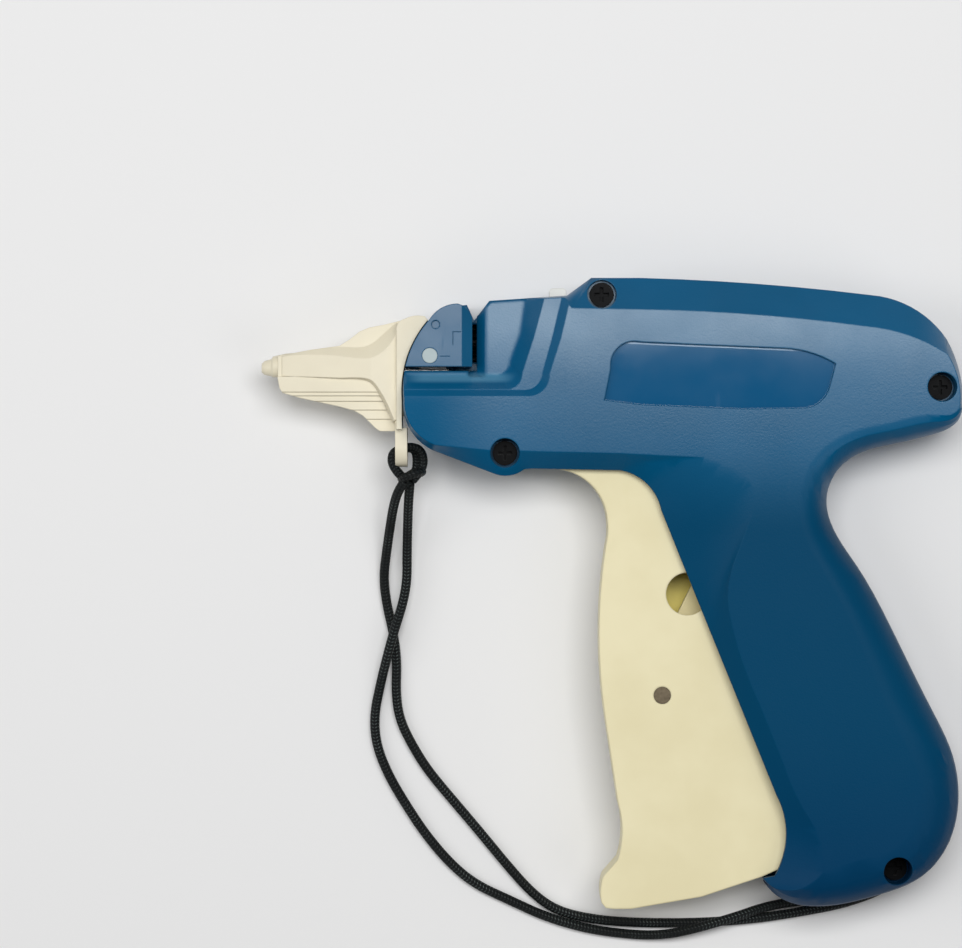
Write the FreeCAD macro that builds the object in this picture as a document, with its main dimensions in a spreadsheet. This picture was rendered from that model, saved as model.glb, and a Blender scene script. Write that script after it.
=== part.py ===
"""Garment tag attacher: a hand-held gun that drives plastic fasteners through a hollow needle.

The gun lies on its right side. +X runs from the nose to the tail, +Y to the top of the barrel and
+Z from the right shell, on the surface, to the left shell. The seam between the shells is at the
height half_width, and so are the needle, the push rod and the trigger's middle.
"""
import FreeCAD, Part
import math
import os
import re

Vector = FreeCAD.Vector

# Driving dimensions in millimetres and degrees.
SIZES = {
    # housing
    "half_width": 13.0,
    "bevel_depth": 4.5,
    "wall": 2.4,
    "grip_round": 10.0,
    "slope_wall": 1.8,
    "cavity_half": 7.4,
    "panel_depth": 0.9,
    "ledge_depth": 1.4,
    "recess_depth": 5.0,
    "fit": 0.15,
    "running_gap": 0.05,
    # case screws
    "screw_head_radius": 2.9,
    "screw_head_height": 2.0,
    "screw_radius": 1.45,
    "screw_length": 11.0,
    "pocket_radius": 3.5,
    "pocket_floor": 6.5,
    "butt_pocket_floor": 1.5,
    "cross_length": 3.4,
    "cross_width": 0.8,
    "cross_depth": 1.2,
    # head: needle, its block and the fastener channel
    "needle_y": 53.5,
    "needle_radius": 1.15,
    "needle_bore": 0.8,
    "needle_slot": 0.6,
    "needle_tip_x": -78.5,
    "needle_root_x": -39.0,
    "needle_bevel": 5.0,
    "hub_front_x": -46.0,
    "hub_length": 6.4,
    "hub_size": 4.6,
    "block_back": 3.6,
    "block_face": 10.6,
    "block_foot": 3.1,
    "block_lip_y": 52.9,
    "facet_width": 2.5,
    "facet_depth": 1.2,
    "block_rear_x": -37.8,
    "block_low_y": 49.4,
    "slit_x": -33.3,
    "slit_width": 1.1,
    "slit_height": 0.9,
    "lip_rise": 0.5,
    "slit_slope_run": 2.2,
    "slit_slope_drop": 1.5,
    "slit_slope_depth": 2.5,
    "channel_rear_x": -28.4,
    "channel_half": 1.5,
    "lock_pin_x": -43.4,
    "lock_pin_y": 56.7,
    "lock_pin_radius": 1.8,
    "dimple_radius": 1.0,
    "blade_thick": 0.5,
    "blade_height": 2.8,
    "blade_half": 2.2,
    "blade_x": -33.2,
    # fastener feed
    "wheel_radius": 4.1,
    "wheel_root": 2.7,
    "wheel_thick": 4.2,
    "wheel_teeth": 10,
    "wheel_y": 60.0,
    "wheel_drop": 5.0,
    "axle_radius": 1.0,
    "axle_length": 9.0,
    "pawl_thick": 0.3,
    "pawl_width": 3.0,
    # release button
    "button_x": -12.75,
    "button_half_length": 2.05,
    "button_half": 3.0,
    "button_top": 73.1,
    "button_flange": 1.1,
    "flange_lip": 0.8,
    "button_flange_top": 68.3,
    "button_flange_height": 1.8,
    "button_travel": 1.5,
    "button_well": 6.5,
    # trigger
    "trigger_pivot_x": 0.0,
    "trigger_pivot_y": 35.0,
    "trigger_half": 6.0,
    "trigger_wall": 1.8,
    "trigger_swing": 22.0,
    "trigger_boss": 4.2,
    "boss_gap": 0.4,
    "boss_height": 3.0,
    "pivot_radius": 2.0,
    "link_x": 12.2,
    "link_y": -24.5,
    "link_radius": 2.05,
    "window_x": 18.2,
    "window_y": -0.2,
    "window_radius": 5.1,
    "lever_way_x": 5.6,
    "lever_way_y": 14.0,
    # drive lever and its frame
    "lever_x": 27.0,
    "lever_y": 3.0,
    "lever_half": 1.25,
    "lever_pin_radius": 2.0,
    "lever_arm": 5.2,
    "lever_hub": 6.2,
    "slot_gap": 0.45,
    "cheek_gap": 0.35,
    "cheek_thick": 1.6,
    "cheek_arm": 5.0,
    "lug_radius": 2.8,
    "lug_y": 37.6,
    "lug_x": 31.0,
    "lug_spacing": 6.0,
    # carriage and push rod
    "carriage_pin_y": 47.0,
    "carriage_pin_radius": 1.8,
    "carriage_front": 11.0,
    "carriage_rear": 6.5,
    "carriage_low": 43.2,
    "carriage_high": 56.4,
    "carriage_half": 9.8,
    "carriage_bridge": 2.0,
    "carriage_pocket_x": 4.5,
    "carriage_pocket_length": 2.4,
    "carriage_wall": 1.8,
    "carriage_skin": 2.4,
    "rail_gap": 0.3,
    "rail_height": 1.5,
    "rail_depth": 3.4,
    "rail_front_x": -5.0,
    "rail_length": 62.0,
    "rod_radius": 0.65,
    "rod_tip_x": -28.0,
    "rod_seat": 3.0,
    # springs
    "spring_front_x": 4.7,
    "spring_front_y": -46.0,
    "seat_x": 66.0,
    "seat_y": -38.0,
    "seat_half": 2.5,
    "seat_thick": 2.0,
    "seat_arm": 14.0,
    "spring_radius": 2.5,
    "spring_wire": 0.45,
    "spring_turns": 9.0,
    "button_spring_radius": 1.6,
    "button_spring_wire": 0.25,
    "button_spring_turns": 4.0,
    # needle cap
    "cap_gap": 0.33,
    "cap_bore": 1.35,
    "cap_web_half": 2.8,
    "cap_face_half": 5.4,
    "flange_half": 7.0,
    "flange_low_y": 39.2,
    "tab_half": 4.6,
    "tab_low_y": 30.2,
    "tab_high_y": 39.6,
    "tab_front_x": -51.8,
    "tab_thick": 2.9,
    "cap_root": 1.4,
    "eye_y": 34.6,
    "eye_half_width": 2.75,
    "eye_half_height": 1.9,
    "peg_radius": 1.2,
    "peg_length": 3.2,
    "peg_high_y": 60.5,
    "peg_low_y": 43.6,
    # lanyard
    "cord_radius": 1.15,
    "hitch_ring": 3.35,
    "hitch_rise": 1.3,
    "hitch_spread": 1.25,
    "hitch_bar_x": 3.6,
    "hitch_bar_half": 2.7,
    "hitch_swell": 0.1,
    "knot_x": 0.6,
    "knot_drop": 3.6,
    "knot_half": 2.5,
    "knot_swell": 0.35,
}

document = FreeCAD.newDocument("tag_attacher")
sheet = document.addObject("Spreadsheet::Sheet", "sizes")
for row, (alias, number) in enumerate(SIZES.items(), start=1):
    sheet.set(f"A{row}", alias)
    sheet.set(f"B{row}", str(number))
    sheet.setAlias(f"B{row}", alias)
document.recompute()


class Sizes:
    """The sheet's numbers, read by alias."""

    def __getattr__(self, alias):
        return float(sheet.get(alias))


size = Sizes()
seam = size.half_width
swing = math.radians(size.trigger_swing)
parts = {}


def formula(text):
    """An expression in which each alias names its cell."""
    return re.sub(r"[a-z]\w+", lambda found: f"sizes.{found.group()}", text)


def bind(item, **bound):
    """Ties properties of an object to the sheet. Two underscores stand for a dot."""
    for name, text in bound.items():
        item.setExpression(name.replace("__", "."), formula(text))
    return item


def along(start, path):
    """Curves of a closed outline.

    Two numbers end a line, four are an arc's middle and end, and a list is a smooth curve's points.
    """
    first = Vector(*start, 0)
    here = first
    curves = []
    for step in path:
        if isinstance(step, list):
            there = Vector(*step[-1], 0)
            bend = Part.BSplineCurve()
            bend.interpolate([here] + [Vector(x, y, 0) for x, y in step])
            curves.append(bend)
            here = there
            continue
        there = Vector(step[-2], step[-1], 0)
        if len(step) == 4:
            curves.append(Part.Arc(here, Vector(step[0], step[1], 0), there))
        else:
            curves.append(Part.LineSegment(here, there))
        here = there
    if (here - first).Length > size.running_gap:
        curves.append(Part.LineSegment(here, first))
    return curves


def sketch(name, outline, height="0"):
    """A free sketch, flat at a height above the surface."""
    drawn = document.addObject("Sketcher::SketchObject", name)
    drawn.addGeometry(outline)
    return bind(drawn, Placement__Base__z=height)


def slab(name, outline, low, depth):
    """An outline raised from a height by a depth."""
    raised = document.addObject("Part::Extrusion", name)
    raised.Base = sketch(name + "_outline", outline, low)
    raised.DirMode = "Custom"
    raised.Dir = Vector(0, 0, 1)
    raised.Solid = True
    return bind(raised, LengthFwd=depth)


def frustum(name, lower, low, upper, high):
    """A solid with straight sides between two outlines that have the same steps."""
    joined = document.addObject("Part::Loft", name)
    joined.Sections = [sketch(name + "_lower", lower, low), sketch(name + "_upper", upper, high)]
    joined.Solid = True
    joined.Ruled = True
    return joined


def box(name, x, y, z, dx, dy, dz):
    """A block by its low corner and its lengths, all as formulas."""
    block = document.addObject("Part::Box", name)
    return bind(block, Placement__Base__x=x, Placement__Base__y=y, Placement__Base__z=z,
                Length=dx, Width=dy, Height=dz)


def rod(name, x, y, z, radius, length, axis="z"):
    """A cylinder from its end, pointing along an axis."""
    round_bar = document.addObject("Part::Cylinder", name)
    turns = {"x": (Vector(0, 1, 0), 90), "y": (Vector(1, 0, 0), -90), "z": (Vector(0, 0, 1), 0)}
    round_bar.Placement.Rotation = FreeCAD.Rotation(*turns[axis])
    return bind(round_bar, Placement__Base__x=x, Placement__Base__y=y, Placement__Base__z=z,
                Radius=radius, Height=length)


def fused(name, *pieces):
    joined = document.addObject("Part::MultiFuse", name)
    joined.Shapes = list(pieces)
    joined.Refine = True
    return joined


def cut(name, base, *tools):
    """The base without the tools."""
    less = document.addObject("Part::Cut", f"{name}_cut")
    less.Base = base
    if len(tools) > 1:
        less.Tool = document.addObject("Part::MultiFuse", f"{name}_tools")
        less.Tool.Shapes = list(tools)
    else:
        less.Tool = tools[0]
    less.Refine = True
    return less


def mirrored(name, source):
    """The same solid on the other side of the seam."""
    flipped = document.addObject("Part::Mirroring", name)
    flipped.Source = source
    flipped.Normal = Vector(0, 0, 1)
    return bind(flipped, Base__z="half_width")


def keep(node, item):
    item.Label = node
    parts[node] = item
    return item


def circle(x, y, radius):
    return [Part.Circle(Vector(x, y, 0), Vector(0, 0, 1), radius)]


def turned(point, centre, angle):
    """A point turned about a centre, anticlockwise, in radians."""
    x, y = point[0] - centre[0], point[1] - centre[1]
    return (centre[0] + x * math.cos(angle) - y * math.sin(angle),
            centre[1] + x * math.sin(angle) + y * math.cos(angle))


def capsule(a, b, radius, radius_b=None):
    """Outline of an arm with round ends, wider at one end if asked."""
    radius_b = radius_b or radius
    heading = math.atan2(b[1] - a[1], b[0] - a[0])
    distance = math.dist(a, b)
    lean = math.acos((radius - radius_b) / distance)

    def rim(centre, r, angle):
        return (centre[0] + r * math.cos(heading + angle), centre[1] + r * math.sin(heading + angle))

    return along(rim(a, radius, lean),
                 [rim(a, radius, math.pi) + rim(a, radius, -lean),
                  rim(b, radius_b, -lean),
                  rim(b, radius_b, 0) + rim(b, radius_b, lean)])


def arc_slot(a, middle, b, half):
    """Outline of a slot whose centre line is the arc through three points."""
    ring = Part.Arc(Vector(*a, 0), Vector(*middle, 0), Vector(*b, 0)).toShape().Curve
    centre = (ring.Center.x, ring.Center.y)

    def side(point, offset):
        reach = math.dist(centre, point)
        grow = (reach + offset) / reach
        return (centre[0] + (point[0] - centre[0]) * grow, centre[1] + (point[1] - centre[1]) * grow)

    def tip(point, beside):
        """The slot's round end, a half width beyond its last point."""
        dx, dy = point[0] - centre[0], point[1] - centre[1]
        reach = math.hypot(dx, dy)
        ahead = 1 if dx * (beside[1] - centre[1]) - dy * (beside[0] - centre[0]) < 0 else -1
        return (point[0] - ahead * dy / reach * half, point[1] + ahead * dx / reach * half)

    return along(side(a, half),
                 [side(middle, half) + side(b, half),
                  tip(b, middle) + side(b, -half),
                  side(middle, -half) + side(a, -half),
                  tip(a, middle) + side(a, half)])


# ---------------------------------------------------------------- housing forms

BARREL_SEAM = ((-49.8, 46.3), [
    (-48.9, 55.4, -43.5, 65.3), (-40.6, 68.1, -36.7, 69.1),
    (-28.6, 69.9), (-10.7, 71.1), (-4.9, 75.3), (7.1, 75.3),
    (36.0, 73.8, 62.0, 71.2), (73.4, 67.2, 80.0, 60.6), (83.2, 52.0, 83.9, 44.6),
    (62.0, 42.5), (48.0, 36.0), (44.0, 27.0), (44.0, 12.0), (37.0, 12.0),
    (36.0, 20.0), (32.6, 26.8, 24.0, 28.9), (2.0, 29.4), (-18.9, 29.8),
    (-20.9, 29.6), (-24.6, 28.1, -28.4, 28.7), (-43.0, 34.3), (-48.0, 38.9, -49.8, 46.3)])
BARREL_SIDE = ((-49.4, 46.3), [
    (-48.5, 55.3, -43.2, 65.0), (-40.4, 67.7, -36.7, 68.7),
    (-28.6, 69.5), (-11.7, 70.3), (-9.6, 67.9), (7.1, 67.6),
    (36.0, 66.2, 60.0, 63.6), (70.8, 61.3, 79.6, 57.0), (82.1, 51.4, 82.6, 44.6),
    (61.5, 42.8), (47.6, 36.2), (43.6, 27.0), (43.6, 12.4), (37.6, 12.4),
    (36.4, 20.0), (32.4, 29.4, 21.6, 32.4), (2.0, 33.4), (-18.9, 33.9),
    (-22.0, 34.0), (-26.0, 34.0, -30.0, 34.2), (-42.0, 35.4), (-47.4, 39.4, -49.4, 46.3)])
# Points of the grip's back and butt, each with how far its rounding reaches inwards.
GRIP_BACK = [
    (84.0, 44.0, 1.5), (82.4, 40.4, 3.0), (77.0, 37.9, 5.0), (67.3, 35.6, 5.5), (60.0, 33.6, 6.0),
    (54.6, 29.6, 7.0), (51.8, 22.4, 7.5), (53.8, 14.6, 8.0), (58.9, 6.7, 8.5), (68.0, -9.8, 9.5),
    (77.0, -27.9, 10.5), (82.0, -38.8, 10.5), (83.5, -48.9, 11.0), (81.6, -59.0, 11.0),
    (75.4, -67.6, 11.0), (63.6, -72.8, 10.5), (51.0, -75.3, 9.5), (42.5, -74.2, 7.0),
    (36.0, -68.1, 1.5)]
GRIP_FRONT = [
    (38.9, -67.4), (41.6, -57.3, 39.2, -48.0), (11.9, 19.8),
    (8.5, 26.1, 2.0, 29.4), (2.0, 36.0), (20.0, 40.0), (50.0, 50.0), (82.0, 50.0)]
# Where the flat side ends above the grip's front, and the edge that the slope runs down to.
SLOPE_CREASE = ((2.0, 34.5), [
    (14.0, 33.6), (24.0, 31.9), (31.0, 28.6), (34.0, 24.2), (33.0, 18.4), (30.0, 10.4), (27.6, 2.0),
    (28.6, -8.0), (32.4, -20.0), (39.4, -37.0), (44.8, -50.0), (50.0, -60.0), (49.6, -67.4),
    (44.4, -71.6), (36.0, -74.0)])
SLOPE_EDGE = ((2.0, 29.4), [
    (5.6, 28.2), (8.6, 26.0), (10.6, 23.0), (11.9, 19.8), (13.4, 15.9), (16.0, 9.4), (19.0, 1.4),
    (22.4, -8.0), (26.4, -20.6), (32.5, -38.0), (36.2, -49.2), (38.8, -57.8), (38.0, -63.0),
    (36.6, -67.6), (30.0, -73.0)])
SLOPE_FAR_X = -30.0


def inset_back(share):
    """The points of the grip's back, moved inwards by a share of their rounding."""
    bend = Part.BSplineCurve()
    bend.interpolate([Vector(x, y, 0) for x, y, _ in GRIP_BACK])
    moved = []
    for x, y, reach in GRIP_BACK:
        heading = bend.tangent(bend.parameter(Vector(x, y, 0)))[0]
        moved.append((x + heading.y * reach * share, y - heading.x * reach * share))
    return moved


def grip_outline(share):
    back = inset_back(share)
    return along(back[0], [back[1:]] + GRIP_FRONT)


def front_slope(name, drop="0"):
    """What comes off the side above the grip's front: a scoop under the barrel, narrow lower down."""
    lower, upper = (
        along(first, [points, (SLOPE_FAR_X, points[-1][1]), (SLOPE_FAR_X, first[1])])
        for first, points in (SLOPE_EDGE, SLOPE_CREASE))
    return frustum(name, lower, f"2 * half_width - bevel_depth - {drop}", upper,
                   f"2 * half_width - {drop}")


def rounded_grip():
    """The grip's left half, its back and butt rounded in steps of a quarter turn."""
    steps = 4
    layers = [slab("grip_core", grip_outline(0), "half_width", "half_width - grip_round")]
    for step in range(steps):
        ends = [math.radians(90 * share / steps) for share in (step, step + 1)]
        lower, upper = (grip_outline(1 - math.cos(angle)) for angle in ends)
        low, high = (f"2 * half_width - grip_round * {1 - math.sin(angle):.6f}" for angle in ends)
        layers.append(frustum(f"grip_layer{step}", lower, low, upper, high))
    return fused("grip_rounded", *layers)


def housing_form():
    """The outside of the left half: bevelled barrel and rounded grip."""
    barrel = slab("barrel_core", along(*BARREL_SEAM), "half_width", "half_width - bevel_depth")
    flank = frustum("barrel_flank", along(*BARREL_SEAM), "2 * half_width - bevel_depth",
                    along(*BARREL_SIDE), "2 * half_width")
    sloped = cut("grip_sloped", rounded_grip(), front_slope("front_slope"))
    return fused("housing_half", barrel, flank, sloped)


# ---------------------------------------------------------------- cuts in the housing

CAVITY_SEAM = ((-9.0, 38.0), [
    (-9.0, 66.0), (3.0, 66.0), (5.5, 72.3), (34.0, 71.2, 62.0, 68.4), (71.5, 63.0), (73.0, 41.5),
    (63.0, 37.6), (54.0, 34.0), (49.6, 28.0), (48.9, 20.5, 51.2, 13.5), (65.3, -10.5),
    (74.3, -28.8), (79.3, -39.5), (80.9, -48.5), (79.0, -56.5), (73.5, -60.0), (62.5, -60.0),
    (60.0, -68.5), (50.0, -72.4), (43.5, -71.2), (33.0, -69.0), (33.0, -48.0), (5.0, 19.8),
    (-2.0, 27.0), (-13.0, 27.0), (-13.0, 36.0)])
CAVITY_SIDE = ((-6.0, 43.0), [
    (-6.0, 62.0), (1.0, 62.0), (7.0, 65.5), (34.0, 64.8, 60.0, 61.8), (68.0, 58.0), (68.5, 47.0),
    (61.0, 44.2), (50.5, 40.5), (44.0, 32.0), (42.6, 21.5, 45.5, 12.0), (58.5, -13.5),
    (67.0, -31.0), (71.0, -41.0), (72.0, -48.5), (71.0, -52.0), (68.0, -54.5), (58.5, -56.5),
    (55.0, -62.0), (51.5, -64.5), (49.0, -63.5), (47.0, -60.0), (45.0, -48.0), (22.0, 12.0),
    (14.0, 36.5), (4.0, 38.0), (-2.0, 39.5)])
BEYOND_Y = 80.0
LEDGE_RIM = ((-60.0, 47.0), [
    (-20.6, 47.0), (-16.6, 48.2, -14.9, 52.2), (-12.2, 60.8), (-10.4, 68.5), (-7.7, 80.0),
    (-60.0, 80.0)])
LEDGE_FOOT = ((-60.0, 48.5), [
    (-20.5, 48.5), (-18.0, 49.6, -16.6, 52.6), (-14.3, 60.8), (-11.9, 70.9), (-9.8, 80.0),
    (-60.0, 80.0)])
FLOOR_RIM = ((-60.0, 48.7), [
    (-25.5, 48.7), (-22.6, 49.6, -21.4, 52.4), (-18.7, 60.8), (-16.0, 70.9), (-13.6, 80.0),
    (-60.0, 80.0)])
FLOOR_FOOT = ((-60.0, 52.1), [
    (-28.2, 52.1), (-25.4, 52.9, -24.2, 55.6), (-21.8, 62.0), (-20.5, 70.9), (-19.5, 80.0),
    (-60.0, 80.0)])
NOTCH = ((-35.2, 70.6), [(-32.9, 65.6), (-31.8, 66.6), (-28.6, 70.6)])
PANEL = ((-1.9, 46.0), [
    (-0.4, 53.6), (1.4, 58.6, 6.6, 59.9), (21.6, 59.2), (40.8, 58.4), (47.6, 57.2, 53.1, 54.7),
    (51.6, 49.0), (50.2, 46.4, 45.2, 44.1), (31.2, 43.9), (7.1, 44.9)])
SCREWS = [(-2.4, 71.3, "pocket_floor"), (-25.5, 33.5, "pocket_floor"),
          (78.4, 49.2, "pocket_floor"), (68.1, -66.1, "butt_pocket_floor")]


def cavity():
    """The hollow of the left half, open along the grip's front for the trigger."""
    low = slab("cavity_core", along(*CAVITY_SEAM), "half_width", "cavity_half")
    high = frustum("cavity_flank", along(*CAVITY_SEAM), "half_width + cavity_half",
                   along(*CAVITY_SIDE), "2 * half_width - wall")
    return cut("cavity_form", fused("cavity_whole", low, high), front_slope("cavity_slope", "slope_wall"))


def screw_holes(side):
    """Shank holes through both halves, and the head pockets of the left one."""
    holes = []
    for number, (x, y, floor) in enumerate(SCREWS):
        holes.append(rod(f"{side}_shank_hole{number}", str(x), str(y),
                         f"half_width + {floor} - screw_length - fit", "screw_radius + running_gap",
                         "screw_length + 1"))
        if side == "left":
            holes.append(rod(f"pocket{number}", str(x), str(y), f"half_width + {floor}",
                             "pocket_radius", "half_width"))
    return holes


def shared_cuts(side):
    """Cuts that both halves have at the seam: channel, carriage and rod ways, button well and more."""
    return [
        box(f"{side}_carriage_way", f"{carriage_pin_x - stroke:.4f} - carriage_front - rail_gap",
            "carriage_low - rail_gap", "half_width - carriage_half - rail_gap",
            f"{stroke:.4f} + carriage_front + carriage_rear + 2 * rail_gap",
            "carriage_high - carriage_low + 2 * rail_gap", "2 * (carriage_half + rail_gap)"),
        box(f"{side}_channel", "block_rear_x - fit", "needle_y - slit_height", "half_width - channel_half",
            "channel_rear_x - block_rear_x + fit", "wall * 10", "2 * channel_half"),
        rod(f"{side}_rod_way", "channel_rear_x - 1", "needle_y", "half_width", "rod_radius + 3 * fit",
            "-channel_rear_x - 7", "x"),
        box(f"{side}_button_hole", "button_x - button_half_length - 2 * fit", "button_flange_top - 1",
            "half_width - button_half - 2 * fit", "2 * button_half_length + 4 * fit", "wall * 3",
            "2 * button_half + 4 * fit"),
        box(f"{side}_button_well", "button_x - button_half_length - button_flange - 2 * fit",
            "button_flange_top + 2 * fit - button_well", "half_width - button_half - button_flange",
            "2 * (button_half_length + button_flange) + 4 * fit", "button_well",
            "2 * (button_half + button_flange)"),
        rod(f"{side}_peg_hole", "-60", "peg_low_y", "half_width", "peg_radius + 2 * fit",
            "61 + hub_front_x", "x"),
        box(f"{side}_blade_slot", "blade_x - fit", "needle_y - rod_radius - 2 * fit - blade_height",
            "half_width - blade_half - fit", "blade_thick + 2 * fit", "blade_height + 2 * fit",
            "2 * (blade_half + fit)"),
        slab(f"{side}_notch", along(*NOTCH), "-1", "2 * half_width + 2"),
    ]


def pivot_boss(side, sign):
    """The boss that holds one end of the trigger's pivot pin."""
    start = f"half_width + {sign} * (trigger_half + boss_gap)"
    if sign < 0:
        start += " - boss_height"
    return rod(f"{side}_boss", "trigger_pivot_x", "trigger_pivot_y", start, "trigger_boss",
               "boss_height")


def pivot_hole(side, sign):
    start = "half_width" if sign > 0 else "half_width - trigger_half - boss_gap - boss_height + 0.6"
    return rod(f"{side}_boss_hole", "trigger_pivot_x", "trigger_pivot_y", start,
               "pivot_radius + running_gap / 2", "trigger_half + boss_gap + boss_height - 0.6")


def rails(side, sign):
    """Two ribs that guide the carriage."""
    start = "2 * half_width - wall - rail_depth" if sign > 0 else "wall - 0.4"
    return [
        box(f"{side}_rail_high", "rail_front_x", "carriage_high + rail_gap", start, "rail_length",
            "rail_height", "rail_depth + 0.4"),
        box(f"{side}_rail_low", "rail_front_x", "carriage_low - rail_gap - rail_height", start,
            "rail_length", "rail_height", "rail_depth + 0.4"),
    ]


def lever_cheek(side, sign):
    """The plate beside the drive lever, carried by two lugs from the shell's side."""
    gap = f"{sign} * (lever_half + cheek_gap)"
    low = f"half_width + {gap}" + ("" if sign > 0 else " - cheek_thick")
    hub = (size.lever_x, size.lever_y)
    lugs = [(size.lug_x + turn * size.lug_spacing, size.lug_y) for turn in (-1, 1)]
    pieces = [slab(f"{side}_cheek{number}", capsule(hub, lug, size.cheek_arm, size.lug_radius), low,
                   "cheek_thick") for number, lug in enumerate(lugs)]
    length = "half_width - wall - lever_half - cheek_gap + 0.4"
    start = low if sign > 0 else "wall - 0.4"
    for number, turn in enumerate((-1, 1)):
        pieces.append(rod(f"{side}_lug{number}", f"lug_x + {turn} * lug_spacing", "lug_y", start,
                          "lug_radius", length))
    return pieces


def cheek_hole(side):
    return rod(f"{side}_cheek_hole", "lever_x", "lever_y",
               "half_width - lever_half - cheek_gap - cheek_thick - 1",
               "lever_pin_radius + running_gap / 2", "2 * (lever_half + cheek_gap + cheek_thick + 1)")


def spring_seat():
    """An arm from the grip's back whose pad carries the return spring."""
    arm = box("seat_arm", "seat_x", "seat_y - 0.6 * seat_half", "half_width - seat_half - 1", "seat_arm",
              "1.2 * seat_half", "seat_half + 1")
    pad = box("seat_pad", "seat_x", "seat_y - seat_half", "half_width - seat_half - 1", "seat_thick",
              "2 * seat_half", "2 * seat_half + 1.5")
    return [arm, pad]


def left_shell():
    top = "2 * half_width"
    outside = housing_form()
    hollow = cut("left_hollow", outside, cavity())
    ribbed = fused("left_ribbed", hollow, pivot_boss("left", 1), *rails("left", 1),
                   *lever_cheek("left", 1))
    ledge = frustum("ledge_cut", along(*LEDGE_FOOT), f"{top} - ledge_depth", along(*LEDGE_RIM), top)
    floor = frustum("floor_cut", along(*FLOOR_FOOT), f"{top} - recess_depth", along(*FLOOR_RIM),
                    f"{top} - ledge_depth")
    panel = slab("panel_cut", along(*PANEL), f"{top} - panel_depth", "wall")
    lip = size.needle_y + size.lip_rise - size.slit_height
    dome_space = box("dome_space", "-60", "needle_y + lip_rise - slit_height", "half_width",
                     "60 + slit_x + slit_width", "wall * 10", top)
    rear = size.slit_x + size.slit_width
    foot, rim = (
        along((rear - 2, y), [(x, y), (x, BEYOND_Y), (rear - 2, BEYOND_Y)])
        for x, y in ((rear, lip), (rear + size.slit_slope_run, lip - size.slit_slope_drop)))
    slit_slope = frustum("slit_slope", foot, f"{top} - recess_depth - slit_slope_depth",
                         rim, f"{top} - recess_depth + fit")
    foot_space = box("foot_space", "-60", "block_low_y - fit", "half_width",
                     "60 + block_rear_x + fit", "needle_y - block_low_y", "block_foot + fit")
    return cut("left_shell", ribbed, ledge, floor, panel, dome_space, foot_space, slit_slope,
               pivot_hole("left", 1), cheek_hole("left"), *shared_cuts("left"), *screw_holes("left"))


def right_shell():
    hollow = cut("right_hollow", mirrored("right_outside", document.housing_half),
                 mirrored("right_cavity", document.cavity_form_cut))
    ribbed = fused("right_ribbed", hollow, pivot_boss("right", -1), *rails("right", -1),
                   *lever_cheek("right", -1), *spring_seat())
    block_space = box("block_space", "-60", "block_low_y - fit", "half_width - block_back - fit",
                      "60 + block_rear_x + fit", "wall * 20", "half_width")
    wheel_space = box("wheel_space", "slit_x - wheel_thick / 2 - 3 * fit",
                      "wheel_y - wheel_radius - 3 * fit", "half_width - wheel_drop - wheel_radius - 4 * fit",
                      "wheel_thick + 6 * fit", "2 * (wheel_radius + 3 * fit)", "half_width")
    axle_hole = rod("axle_hole", "slit_x - axle_length / 2 - fit", "wheel_y", "half_width - wheel_drop",
                    "axle_radius + running_gap / 2", "axle_length + 2 * fit", "x")
    return cut("right_shell", ribbed, block_space, wheel_space, axle_hole,
               pivot_hole("right", -1), cheek_hole("right"), *shared_cuts("right"), *screw_holes("right"))


# ---------------------------------------------------------------- head

NOSE_FOOT = BARREL_SEAM[0]
NOSE_MIDDLE, NOSE_TOP = BARREL_SEAM[1][0][:2], BARREL_SEAM[1][0][2:]
NOSE_RING = Part.Arc(*(Vector(*point, 0) for point in (NOSE_FOOT, NOSE_MIDDLE, NOSE_TOP))).toShape().Curve


def front_x(y, offset=0):
    """Where the nose's round front lies at a height on the barrel."""
    centre, reach = NOSE_RING.Center, NOSE_RING.Radius + offset
    return centre.x - math.sqrt(reach ** 2 - (y - centre.y) ** 2)


def dome_outline(low, rear):
    """The block's outline above a height, cut off at its rear."""
    start = (front_x(low), low)
    middle = (low + NOSE_TOP[1]) / 2
    path = [(front_x(middle), middle) + NOSE_TOP]
    if rear > -36.7:
        path += [(-40.6, 68.1, -36.7, 69.1), (-35.4, 68.6), (-34.0, 67.3), (rear, 65.9)]
    else:
        path += [(-41.2, 67.6, rear, 68.9)]
    return along(start, path + [(rear, low)])


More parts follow.
